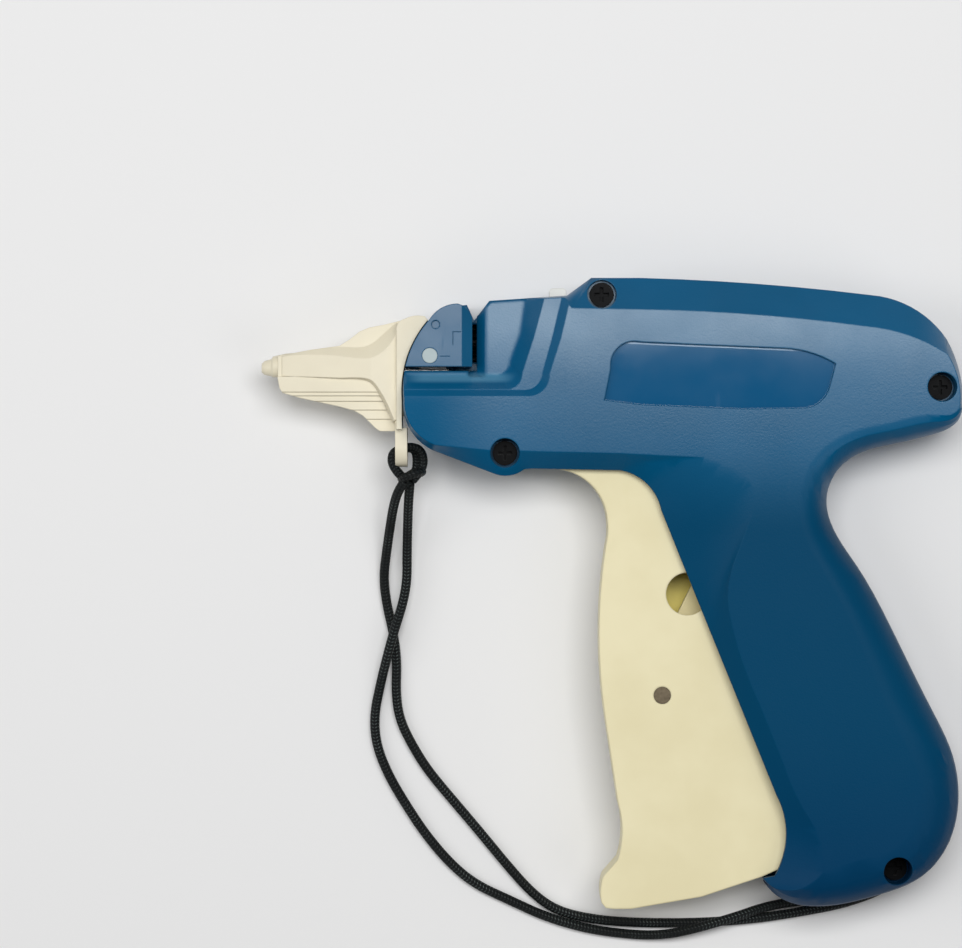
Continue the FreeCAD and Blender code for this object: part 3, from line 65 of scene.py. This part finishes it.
class Shader:
    """A material's node tree, with short ways to add what the surfaces share.

    Places, radii and depths are in millimetres.
    """

    def __init__(self, name, roughness, metallic=0.0, specular=0.5):
        self.material = bpy.data.materials.new(name)
        self.material.use_nodes = True
        self.tree = self.material.node_tree
        self.surface = self.tree.nodes["Principled BSDF"]
        self.surface.inputs["Metallic"].default_value = metallic
        self.surface.inputs["Specular IOR Level"].default_value = specular
        self.surface.inputs["Roughness"].default_value = roughness
        self.place = self.node("ShaderNodeTexCoord").outputs["Object"]
        self.rounded = None
        self.normal = None

    def node(self, kind, **settings):
        made = self.tree.nodes.new(kind)
        for key, value in settings.items():
            setattr(made, key, value)
        return made

    def feed(self, socket, value):
        """Sets a socket to a number or colour, or links another node's output to it."""
        if isinstance(value, (int, float, tuple)):
            socket.default_value = value
        elif value is not None:
            self.tree.links.new(value, socket)

    def math(self, operation, first, second=None):
        made = self.node("ShaderNodeMath", operation=operation)
        self.feed(made.inputs[0], first)
        self.feed(made.inputs[1], second)
        return made.outputs[0]

    def product(self, first, *others):
        """Values or masks multiplied together."""
        for other in others:
            first = self.math("MULTIPLY", first, other)
        return first

    def vector(self, operation, first, second=None):
        made = self.node("ShaderNodeVectorMath", operation=operation)
        self.feed(made.inputs[0], first)
        self.feed(made.inputs[1], second)
        return made

    def noise(self, scale, detail=3.0, stretch=None):
        made = self.node("ShaderNodeTexNoise")
        made.inputs["Scale"].default_value = scale
        made.inputs["Detail"].default_value = detail
        made.inputs["Roughness"].default_value = 0.55
        source = self.place
        if stretch:
            mapping = self.node("ShaderNodeMapping")
            mapping.inputs["Scale"].default_value = stretch
            self.feed(mapping.inputs["Vector"], source)
            source = mapping.outputs[0]
        self.feed(made.inputs["Vector"], source)
        return made.outputs["Fac"]

    def ramp(self, value, low, high, to_low=0.0, to_high=1.0, shape="LINEAR"):
        """A ramp of a value between two limits, level outside them."""
        made = self.node("ShaderNodeMapRange", interpolation_type=shape)
        names = ("Value", "From Min", "From Max", "To Min", "To Max")
        for name, number in zip(names, (value, low, high, to_low, to_high)):
            self.feed(made.inputs[name], number)
        return made.outputs["Result"]

    def rise(self, value, low, high, to_low=0.0, to_high=1.0):
        """A smooth step of a value between two limits."""
        return self.ramp(value, low, high, to_low, to_high, "SMOOTHSTEP")

    def fall(self, value, low, high):
        """A smooth step from one down to zero."""
        return self.rise(value, low, high, 1.0, 0.0)

    def between(self, value, low, high, soft=0.15):
        """One inside a stretch of an axis and zero outside it."""
        return self.product(self.rise(value, low - soft, low + soft),
                            self.fall(value, high - soft, high + soft))

    def mix(self, factor, first, second):
        made = self.node("ShaderNodeMix", data_type="RGBA")
        for socket, value in ((made.inputs[0], factor), (made.inputs[6], first), (made.inputs[7], second)):
            self.feed(socket, value)
        return made.outputs[2]

    def parts(self, vector):
        made = self.node("ShaderNodeSeparateXYZ")
        self.feed(made.inputs[0], vector)
        return made.outputs

    def axes(self):
        """The place's x, y and z, in millimetres."""
        scaled = self.vector("SCALE", self.place)
        scaled.inputs["Scale"].default_value = 1 / MM
        return self.parts(scaled.outputs[0])

    def bump(self, height, strength, depth):
        made = self.node("ShaderNodeBump")
        made.inputs["Strength"].default_value = strength
        made.inputs["Distance"].default_value = depth * MM
        self.feed(made.inputs["Height"], height)
        self.feed(made.inputs["Normal"], self.normal)
        self.normal = made.outputs[0]

    def soften(self, radius):
        """Catches light along edges, as a small fillet does."""
        made = self.node("ShaderNodeBevel", samples=6)
        made.inputs["Radius"].default_value = radius * MM
        self.rounded = self.normal = made.outputs[0]

    def soften_more(self, radius, mask):
        """A wider rounding inside a mask."""
        made = self.node("ShaderNodeBevel", samples=8)
        made.inputs["Radius"].default_value = radius * MM
        blend = self.node("ShaderNodeMix", data_type="VECTOR")
        for socket, source in zip((blend.inputs[0], blend.inputs[4], blend.inputs[5]),
                                  (mask, self.normal, made.outputs[0])):
            self.feed(socket, source)
        self.normal = blend.outputs[1]

    def crown(self, lean):
        """Tilts the surface along y, as a face that is slightly domed."""
        tilt = self.node("ShaderNodeCombineXYZ")
        self.feed(tilt.inputs[1], lean)
        leaning = self.vector("ADD", self.normal, tilt.outputs[0])
        self.normal = self.vector("NORMALIZE", leaning.outputs[0]).outputs[0]

    def facing(self):
        """The surface's own direction, before any rounding."""
        return self.node("ShaderNodeNewGeometry").outputs["Normal"]

    def edges(self):
        """One along an edge that is paled by wear and a painted highlight, and zero on an open face."""
        turn = self.vector("DOT_PRODUCT", self.rounded, self.facing()).outputs["Value"]
        return self.product(self.fall(turn, 0.9, 0.995), self.rise(self.noise(160), 0.4, 0.65))

    def done(self, colour, roughness=None):
        """Feeds the finished values to the surface, and gives the material."""
        for name, value in (("Base Color", colour), ("Roughness", roughness), ("Normal", self.normal)):
            self.feed(self.surface.inputs[name], value)
        return self.material


# ---------------------------------------------------------------- materials

def moulded(name, colour, shade, roughness, grain=0.12, radius=0.3, specular=0.4, wear_and_edge_highlight=0.1):
    """Injection-moulded plastic: soft mottling, fine grain, scuffs, slightly rounded edges, and pale edges
    that are part wear and part painted highlight.
    """
    made = Shader(name, roughness, specular=specular)
    made.soften(radius)
    made.bump(made.noise(2600, 2), grain, 0.04)
    made.bump(made.noise(260, 2), grain * 0.5, 0.05)
    cloud = made.rise(made.noise(38, 4), 0.35, 0.7)
    pale = tuple(channel + (1 - channel) * 0.5 for channel in colour[:3]) + (1,)
    # The pale edges are partly wear and partly a painted highlight.
    body = made.mix(made.product(made.edges(), wear_and_edge_highlight), made.mix(cloud, colour, shade), pale)
    scuffs = made.rise(made.noise(380, 2, stretch=(1, 0.15, 1)), 0.66, 0.74, 0.0, 0.08)
    rough = made.rise(made.noise(90, 4), 0.3, 0.7, roughness - 0.04, roughness + 0.05)
    return made, body, made.math("ADD", rough, scuffs)


def plastic(*words, **options):
    made, body, rough = moulded(*words, **options)
    return made.done(body, rough)


def trigger_cream():
    """Cream plastic, with painted shade that makes it deeper and yellower inside the hollow trigger."""
    made, body, rough = moulded("trigger_cream", tint(236, 227, 188), tint(229, 219, 178), 0.42,
                                grain=0.06, radius=0.7, specular=0.3)
    x, y, z = made.axes()
    # Painted shade: inside the hollow trigger, seen through its window, the cream is tinted deeper and
    # yellower.
    inside = made.product(made.between(z, 7.6, 18.6, 0.1), made.between(x, 12.5, 24.0),
                          made.between(y, -6.5, 6.0))
    return made.done(made.mix(inside, body, tint(236, 218, 112)), rough)


def metal(name, colour, roughness, brushed=(1, 1, 1)):
    """Brushed metal, with its lines stretched along an axis."""
    made = Shader(name, roughness, metallic=1.0)
    made.soften(0.15)
    lines = made.noise(900, 3, stretch=brushed)
    made.bump(lines, 0.15, 0.02)
    rough = made.rise(lines, 0.3, 0.7, roughness - 0.08, roughness + 0.1)
    dark = tuple(channel * 0.8 for channel in colour[:3]) + (1,)
    return made.done(made.mix(lines, colour, dark), rough)


# How the blue plastic's side leans along y, as a slightly domed face does, so that its sheen is
# strongest along the top: the lowest and highest place in millimetres, and the lean at each.
CROWN = (25.0, 66.0, -0.08, 0.055)
# The lines scored into the needle block's face, in millimetres: left, right, low and high.
SCORES = ((-37.95, -35.9, 62.3, 62.45), (-37.95, -37.8, 59.3, 62.45), (-41.0, -38.6, 56.5, 56.62))


def shell_blue():
    """Grained blue plastic, smoother down the grip, with painted shade that makes it deeper down the grip and
    the butt.
    """
    made = Shader("shell_blue", 0.3, specular=0.36)
    made.surface.inputs["Specular Tint"].default_value = (0.88, 0.97, 1.0, 1.0)
    x, y, z = made.axes()

    # Masks: the hollow behind the needle block, the recessed panel, the grip, its butt and the nose.
    hollow = made.product(made.fall(x, -9.5, -9.1), made.rise(y, 46.9, 47.3), made.fall(z, 22.6, 23.8))
    panel = made.product(made.between(z, 24.8, 25.3, 0.1), made.between(x, -2.3, 53.4),
                         made.between(y, 43.6, 60.2))
    grip = made.fall(y, 14.0, 38.0)
    butt_shade = made.fall(y, -82.0, -22.0)
    front = made.product(made.fall(x, -46.0, -25.0), made.fall(y, 45.0, 53.0))

    # The panel's floor curls up just under its sloping top edge and catches the light there.
    under_top = made.between(made.math("ADD", y, made.product(x, 0.045)), 59.75, 61.2, 0.2)
    curl = made.product(under_top, made.rise(x, 6.0, 44.0, 0.165, 0.06))
    made.soften(0.45)
    made.soften_more(1.5, hollow)
    made.crown(made.math("ADD", made.ramp(y, *CROWN), made.product(panel, made.math("SUBTRACT", curl, 0.05))))
    made.bump(made.product(made.noise(2100), made.math("SUBTRACT", 1.0, panel)), 0.6, 0.05)
    made.bump(made.noise(120, 2), 0.05, 0.08)

    body = made.mix(made.rise(made.noise(26, 4), 0.3, 0.75), tint(3, 88, 130), tint(2, 82, 122))
    # Painted shade: the blue is darker down the grip, and darker still towards the butt.
    body = made.mix(grip, body, tint(0, 67, 102))
    body = made.mix(butt_shade, body, tint(0, 56, 93))
    body = made.mix(panel, body, tint(4, 82, 126))
    # Painted highlight: a pale band along the lip under the needle block's slit.
    lip_highlight = made.product(made.between(y, 50.5, 52.4, 0.7), made.between(x, -47.5, -25.0, 3.0), hollow, 0.7)
    body = made.mix(lip_highlight, body, tint(88, 146, 178))
    # Pale edges, partly wear and partly a painted highlight.
    body = made.mix(made.product(made.edges(), 0.14), body, tint(60, 122, 156))

    scuffs = made.rise(made.noise(420, 2, stretch=(1, 0.12, 1)), 0.68, 0.76, 0.0, 0.05)
    rough = made.math("ADD", made.rise(made.noise(70, 4), 0.3, 0.7, 0.3, 0.36), scuffs)
    rough = made.math("ADD", rough, made.product(grip, 0.09))
    rough = made.math("SUBTRACT", rough, made.product(panel, 0.18))

    # The sheen: least on the nose, down the grip and where a face looks down, most along the top.
    dull = made.math("MAXIMUM", made.product(front, 0.85), made.product(grip, 0.76))
    dull = made.math("MAXIMUM", dull, made.rise(made.parts(made.facing())[1], -0.45, -0.2, 0.85, 0.0))
    shine = made.product(made.math("SUBTRACT", 1.0, dull), made.rise(y, 48.0, 67.0, 0.36, 0.64))
    made.feed(made.surface.inputs["Specular IOR Level"], shine)
    return made.done(body, rough)


def dome_blue():
    """The needle block's plastic, with the fine angled line scored into its face and darkened there by
    painted shade.
    """
    made, body, rough = moulded("dome_blue", tint(4, 85, 124), tint(2, 80, 118), 0.3,
                                radius=0.35, specular=0.36, wear_and_edge_highlight=0.06)
    x, y, z = made.axes()
    made.crown(made.ramp(y, *CROWN))
    score = 0.0
    for left, right, low, high in SCORES:
        line = made.product(made.between(x, left, right, 0.05), made.between(y, low, high, 0.05))
        score = made.math("MAXIMUM", score, line)
    made.bump(made.math("SUBTRACT", 1.0, score), 0.6, 0.15)
    # Painted shade: the scored lines are darkened.
    return made.done(made.mix(made.product(score, 0.6), body, tint(3, 48, 78)), rough)


def braid():
    """Braided cord: rows of slanted plaits, with painted highlights as short pale flecks along the plaits'
    tops.
    """
    columns, plaits_along, slant = 8.0, 5.5, 0.55
    made = Shader("braid", 0.55, specular=0.22)

    def wave(value):
        return made.math("ABSOLUTE", made.math("SINE", made.product(value, math.pi)))

    along, round_, _ = made.parts(made.node("ShaderNodeUVMap").outputs[0])
    column = made.product(round_, columns)
    lean = made.math("ABSOLUTE", made.math("SUBTRACT", made.math("MODULO", column, 2.0), 1.0))
    plait = wave(made.math("ADD", made.product(along, plaits_along), made.product(lean, slant)))
    column_top = wave(column)
    height = made.product(made.rise(plait, 0.0, 0.8), made.rise(column_top, 0.0, 0.7, 0.4, 1.0))
    made.bump(height, 1.0, 0.16)
    made.bump(made.noise(5200, 2), 0.5, 0.05)
    # Painted highlights: pale flecks on the plaits' tops.
    plait_highlight = made.product(made.rise(plait, 0.86, 0.99), made.rise(column_top, 0.45, 0.95),
                        made.rise(made.noise(75, 2), 0.4, 0.62, 0.15, 1.0))
    colour = made.mix(plait_highlight, tint(13, 17, 18), tint(80, 90, 88))
    return made.done(colour, made.rise(height, 0.0, 1.0, 0.66, 0.5))


BLUE = shell_blue()
DOME = dome_blue()
CREAM = trigger_cream()
CAP = plastic("cap_cream", tint(232, 224, 200), tint(224, 216, 192), 0.4, grain=0.06)
WHITE = plastic("button_white", tint(226, 226, 220), tint(212, 212, 206), 0.4)
AMBER = plastic("lever_amber", tint(226, 214, 164), tint(214, 200, 142), 0.42, radius=0.4)
STEEL = metal("steel", tint(186, 188, 190), 0.3, (1, 1, 0.08))
BRONZE = metal("pin_end", tint(104, 94, 78), 0.5)
NEEDLE = metal("needle_steel", tint(196, 198, 200), 0.24, (0.06, 1, 1))
PALE = plastic("pin_pale", tint(176, 190, 192), tint(150, 170, 176), 0.45, grain=0.4)
BLACK = plastic("screw_black", tint(13, 14, 16), tint(8, 9, 11), 0.34, grain=0.1, radius=0.2,
                specular=0.04)
CORD = braid()

SURFACES = {
    "left_shell": BLUE, "right_shell": BLUE, "needle_block": DOME, "needle": NEEDLE, "needle_hub": STEEL,
    "needle_lock_pin": PALE, "cutter_blade": STEEL, "feed_wheel": BLACK, "feed_wheel_axle": STEEL,
    "feed_pawl": STEEL, "release_button": WHITE, "button_spring": STEEL, "trigger": CREAM,
    "trigger_pivot_pin": STEEL, "trigger_link_pin": BRONZE, "drive_lever": AMBER,
    "lever_pivot_pin": STEEL, "carriage": AMBER, "carriage_pin": STEEL, "push_rod": STEEL,
    "return_spring": STEEL, "needle_cap": CAP, "cord_hitch": CORD, "cord_inner": CORD,
    "cord_outer": CORD, "cord_end": CORD, "case_screws": BLACK,
}


# ---------------------------------------------------------------- shading of the CAD pieces

FLAT_ANGLE = 0.06    # degrees between the triangles of one flat face, at most
MERGE = 0.002        # millimetres between the vertices of faces that meet
SMOOTH_ANGLE = 27    # degrees between faces that are shaded as one
BLOCK_ANGLE = 18     # the same on the needle block, whose face and bevels meet at less


def smooth_group(degrees):
    """Smooth shading that keeps an edge where two faces meet at more than an angle."""
    tree = bpy.data.node_groups.new(f"smooth_faces_{degrees}", "GeometryNodeTree")
    tree.interface.new_socket("Geometry", in_out="INPUT", socket_type="NodeSocketGeometry")
    tree.interface.new_socket("Geometry", in_out="OUTPUT", socket_type="NodeSocketGeometry")
    make = tree.nodes.new
    start, end = make("NodeGroupInput"), make("NodeGroupOutput")
    merge, forget = make("GeometryNodeMergeByDistance"), make("GeometryNodeRemoveAttribute")
    merge.inputs["Distance"].default_value = MERGE * MM
    forget.inputs["Name"].default_value = "custom_normal"
    faces, edges = make("GeometryNodeSetShadeSmooth"), make("GeometryNodeSetShadeSmooth")
    faces.domain, edges.domain = "FACE", "EDGE"
    angle, steep = make("GeometryNodeInputMeshEdgeAngle"), make("FunctionNodeCompare")
    steep.data_type, steep.operation = "FLOAT", "GREATER_THAN"
    steep.inputs["B"].default_value = math.radians(degrees)
    edges.inputs["Shade Smooth"].default_value = False
    link = tree.links.new
    link(start.outputs[0], merge.inputs["Geometry"])
    link(merge.outputs[0], forget.inputs["Geometry"])
    link(forget.outputs[0], faces.inputs["Geometry"])
    link(faces.outputs[0], edges.inputs["Geometry"])
    link(angle.outputs["Unsigned Angle"], steep.inputs["A"])
    link(steep.outputs[0], edges.inputs["Selection"])
    link(edges.outputs[0], end.inputs[0])
    return tree


SMOOTH, FACETED = smooth_group(SMOOTH_ANGLE), smooth_group(BLOCK_ANGLE)
for node, surface in SURFACES.items():
    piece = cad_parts[node]
    piece.data.materials.clear()
    piece.data.materials.append(surface)
    flat = piece.modifiers.new("flat", "DECIMATE")
    flat.decimate_type = "DISSOLVE"
    flat.angle_limit = math.radians(FLAT_ANGLE)
    piece.modifiers.new("smooth", "NODES").node_group = FACETED if node == "needle_block" else SMOOTH
    weighted = piece.modifiers.new("weighted", "WEIGHTED_NORMAL")
    weighted.mode = "FACE_AREA"
    weighted.weight = 90
    weighted.keep_sharp = True


# ---------------------------------------------------------------- lines and tubes

def smooth_line(points):
    """Points of the smooth curve that control points in millimetres make."""
    curve = bpy.data.curves.new("route", "CURVE")
    curve.dimensions = "3D"
    line = curve.splines.new("NURBS")
    line.points.add(len(points) - 1)
    for point, place in zip(line.points, points):
        point.co = (*(part * MM for part in place), 1)
    line.order_u = 3
    line.use_endpoint_u = True
    line.resolution_u = 12
    route = bpy.data.objects.new("route", curve)
    bpy.context.collection.objects.link(route)
    mesh = bpy.data.meshes.new_from_object(route.evaluated_get(bpy.context.evaluated_depsgraph_get()))
    places = [vertex.co.copy() for vertex in mesh.vertices]
    bpy.data.objects.remove(route)
    return places


def evenly(places, step):
    """Places along a line, a step in millimetres apart."""
    reach = [0.0]
    for here, there in zip(places, places[1:]):
        reach.append(reach[-1] + (there - here).length)
    count = max(2, round(reach[-1] / (step * MM)))
    found, index = [], 0
    for number in range(count + 1):
        goal = reach[-1] * number / count
        while index < len(places) - 2 and reach[index + 1] < goal:
            index += 1
        share = (goal - reach[index]) / max(reach[index + 1] - reach[index], 1e-9)
        found.append(places[index].lerp(places[index + 1], min(max(share, 0), 1)))
    return found


def placed(name, shape, surface):
    """A new piece from a bmesh, which is freed."""
    mesh = bpy.data.meshes.new(name)
    shape.to_mesh(mesh)
    shape.free()
    mesh.materials.append(surface)
    piece = bpy.data.objects.new(name, mesh)
    bpy.context.collection.objects.link(piece)
    return piece


def tube(name, places, radius, sides=16, surface=CORD):
    """A mesh tube along places, with its length and girth as UV for the braid."""
    radius *= MM
    shape = bmesh.new()
    layer = shape.loops.layers.uv.new("UVMap")
    rings = []
    heading = (places[1] - places[0]).normalized()
    side = heading.orthogonal().normalized()
    for index, place in enumerate(places):
        ahead = (places[min(index + 1, len(places) - 1)] - places[max(index - 1, 0)]).normalized()
        side = (side - ahead * side.dot(ahead)).normalized()
        up = ahead.cross(side)
        ring = [shape.verts.new(place + (side * math.cos(math.tau * k / sides)
                                         + up * math.sin(math.tau * k / sides)) * radius)
                for k in range(sides)]
        rings.append(ring)
    reach = 0.0
    for index, (ring, after) in enumerate(zip(rings, rings[1:])):
        length = (places[index + 1] - places[index]).length
        low, high = reach / (4 * radius), (reach + length) / (4 * radius)
        for k in range(sides):
            face = shape.faces.new((ring[k], ring[(k + 1) % sides], after[(k + 1) % sides], after[k]))
            face.smooth = True
            for loop, (u, v) in zip(face.loops, ((low, k), (low, k + 1), (high, k + 1), (high, k))):
                loop[layer].uv = (u, v / sides)
        reach += length
    shape.faces.new(list(reversed(rings[0])))
    shape.faces.new(rings[-1])
    return placed(name, shape, surface)


def joined(name, *tubes):
    """Several tubes as one piece."""
    shape = bmesh.new()
    for item in tubes:
        shape.from_mesh(item.data)
        bpy.data.objects.remove(item)
    return placed(name, shape, CORD)


# ---------------------------------------------------------------- lanyard

STRAND_RADIUS, FOLD_RADIUS, HITCH_RADIUS = 1.15, 1.12, 1.05
STRAND_STEP, FINE_STEP = 0.8, 0.4

# The two strands, from the hitch on the cap round to the turn-back under the butt.
STRAND_INNER = [
    (-48.3, 26.6, 12.4), (-48.7, 22.6, 11.0), (-49.0, 16.0, 6.8), (-49.2, 9.0, 4.2), (-49.2, 2.5, 3.8),
    (-50.2, -3.0, 4.0), (-52.3, -9.5, 4.1), (-54.2, -16.5, 3.9), (-55.9, -23.5, 1.8), (-57.3, -30.5, 1.2),
    (-56.8, -37.5, 1.2), (-53.9, -44.8, 1.2), (-49.8, -51.8, 1.2), (-44.8, -59.4, 1.2), (-38.7, -66.6, 1.2),
    (-32.7, -71.6, 1.2), (-24.7, -75.3, 1.2), (-15.2, -79.7, 1.2), (-5.0, -82.6, 1.2), (5.0, -83.9, 1.2),
    (12.0, -84.0, 2.0), (18.5, -82.8, 4.0), (30.0, -79.5, 4.3), (39.0, -76.7, 1.7), (48.0, -75.6, 1.2),
    (57.5, -73.7, 1.2), (67.4, -69.7, 1.2), (76.5, -63.2, 1.2)]
STRAND_OUTER = [
    (-49.5, 26.8, 14.2), (-51.0, 24.9, 13.3), (-52.3, 21.0, 10.8), (-53.3, 15.5, 6.6), (-54.2, 9.5, 3.4),
    (-55.0, 3.5, 1.3), (-54.3, -3.0, 1.2), (-52.5, -10.6, 1.2), (-51.7, -17.5, 1.2), (-52.0, -24.5, 1.2),
    (-51.2, -31.0, 1.2), (-48.4, -37.0, 1.2), (-44.3, -43.7, 1.2), (-38.0, -51.2, 1.2), (-31.6, -58.7, 1.2),
    (-25.4, -66.3, 1.2), (-18.9, -73.7, 1.2), (-12.8, -78.1, 1.2), (-4.0, -80.2, 1.2), (6.0, -81.0, 1.2),
    (20.0, -81.1, 1.2), (33.8, -80.3, 1.2), (46.1, -78.5, 1.2), (57.9, -76.3, 1.2), (68.9, -72.1, 1.2),
    (78.4, -65.0, 1.2)]
# The turn-back under the butt, and the lark's head through the cap's eye.
FOLD = [(75.9, -63.6, 1.2), (78.0, -61.6, 1.2), (80.2, -59.2, 1.2), (82.0, -58.2, 1.2), (82.7, -59.6, 1.2),
        (81.6, -61.9, 1.2), (79.9, -63.8, 1.2), (77.6, -65.5, 1.2)]
HITCH_LOW = [(-48.3, 25.6, 12.6), (-49.7, 27.4, 12.6), (-51.6, 29.3, 12.2), (-52.8, 31.2, 11.9),
             (-52.6, 33.4, 11.9), (-50.4, 34.5, 11.9), (-48.3, 34.9, 11.9), (-46.9, 34.0, 11.9),
             (-46.6, 31.6, 12.0), (-46.9, 29.2, 12.4), (-47.9, 26.9, 12.6)]
HITCH_HIGH = [(-48.5, 25.6, 13.4), (-49.9, 27.4, 13.4), (-51.7, 29.3, 13.8), (-52.8, 31.4, 14.1),
              (-52.5, 33.6, 14.1), (-50.4, 34.7, 14.1), (-47.6, 35.1, 14.1), (-45.6, 34.2, 14.1),
              (-44.9, 31.6, 14.0), (-45.6, 29.2, 13.8), (-47.7, 26.9, 13.4)]
HITCH_BAR = [(-47.2, 29.0, 9.9), (-49.6, 27.5, 10.4), (-50.5, 27.2, 13.0), (-49.6, 27.7, 15.7),
             (-46.8, 28.7, 16.2), (-45.0, 29.2, 13.6), (-45.8, 28.8, 10.8)]

fold = tube("strand_fold", evenly(smooth_line(FOLD), FINE_STEP), FOLD_RADIUS)
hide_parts("cord_end")
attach(fold, "housing")
hitch = joined("hitch_rope", *(tube(f"turn{number}", evenly(smooth_line(points), FINE_STEP), HITCH_RADIUS)
                               for number, points in enumerate((HITCH_LOW, HITCH_HIGH, HITCH_BAR))))
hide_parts("cord_hitch")
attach(hitch, "needle_cap")
for name, node, points, pieces in (("strand_inner", "cord_inner", STRAND_INNER, [fold]),
                                   ("strand_outer", "cord_outer", STRAND_OUTER, [])):
    places = evenly(smooth_line(points), STRAND_STEP)
    piece = tube(name, places, STRAND_RADIUS)
    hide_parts(node)
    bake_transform(piece)


# ---------------------------------------------------------------- springs

def spring(name, node, foot, far, radius, wire, turns, across):
    """A coil from a moving body's end to the housing's."""
    foot, far, across = Vector(foot) * MM, Vector(far) * MM, Vector(across)
    up = (far - foot).normalized().cross(across)
    count = turns * 24
    places = []
    for step in range(count + 1):
        angle = math.tau * turns * step / count
        around = across * math.cos(angle) + up * math.sin(angle)
        places.append(foot.lerp(far, step / count) + around * radius * MM)
    piece = tube(name, places, wire, sides=10, surface=STEEL)
    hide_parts(node)
    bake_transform(piece)


spring("return_coil", "return_spring", foot=(4.7, -46.0, HALF_WIDTH),
       far=(64.661, -38.175, HALF_WIDTH), radius=2.5, wire=0.45, turns=9, across=(0, 0, -1))
spring("button_coil", "button_spring", foot=(-12.75, 66.2, HALF_WIDTH),
       far=(-12.75, 62.4, HALF_WIDTH), radius=1.6, wire=0.25, turns=4, across=(1, 0, 0))


# ---------------------------------------------------------------- stage, light and camera

bpy.ops.mesh.primitive_plane_add(size=4.0, location=(0, 0, -0.0002))
floor = bpy.context.object
floor.name = "floor"
floor.data.materials.append(Shader("floor", 0.6, specular=0.2).done(tint(236, 236, 236)))


def lamp(name, place, aim, size, power):
    """An oblong lamp, in metres and watts, that looks at a place."""
    data = bpy.data.lights.new(name, "AREA")
    data.shape = "RECTANGLE"
    data.size, data.size_y = size
    data.energy = power
    item = bpy.data.objects.new(name, data)
    item.location = place
    item.rotation_euler = (Vector(aim) - Vector(place)).to_track_quat("-Z", "Y").to_euler()
    bpy.context.collection.objects.link(item)


lamp("key", (0.08, 0.34, 1.25), (0.08, 0.34, 0), (0.9, 0.48), 11.5)
lamp("side", (-0.8, 0.05, 0.75), (0, 0, 0), (0.4, 0.8), 2.6)
lamp("fill", (0.6, -0.4, 0.8), (0, 0, 0), (0.5, 0.5), 0.9)
world = bpy.data.worlds.new("studio")
world.use_nodes = True
world.node_tree.nodes["Background"].inputs["Color"].default_value = (1, 1, 1, 1)
world.node_tree.nodes["Background"].inputs["Strength"].default_value = 0.16
scene.world = world

# The camera looks straight down at the gun's side, and the frame is as wide as this at the seam.
SENSOR, FRAME_WIDTH, DISTANCE, MIDDLE = 36.0, 231.8, 900.0, (-31.2, 28.5)
data = bpy.data.cameras.new("camera")
data.sensor_width = SENSOR
data.lens = SENSOR * DISTANCE / FRAME_WIDTH
camera = bpy.data.objects.new("camera", data)
camera.location = (MIDDLE[0] * MM, MIDDLE[1] * MM, (HALF_WIDTH + DISTANCE) * MM)
bpy.context.collection.objects.link(camera)
scene.camera = camera
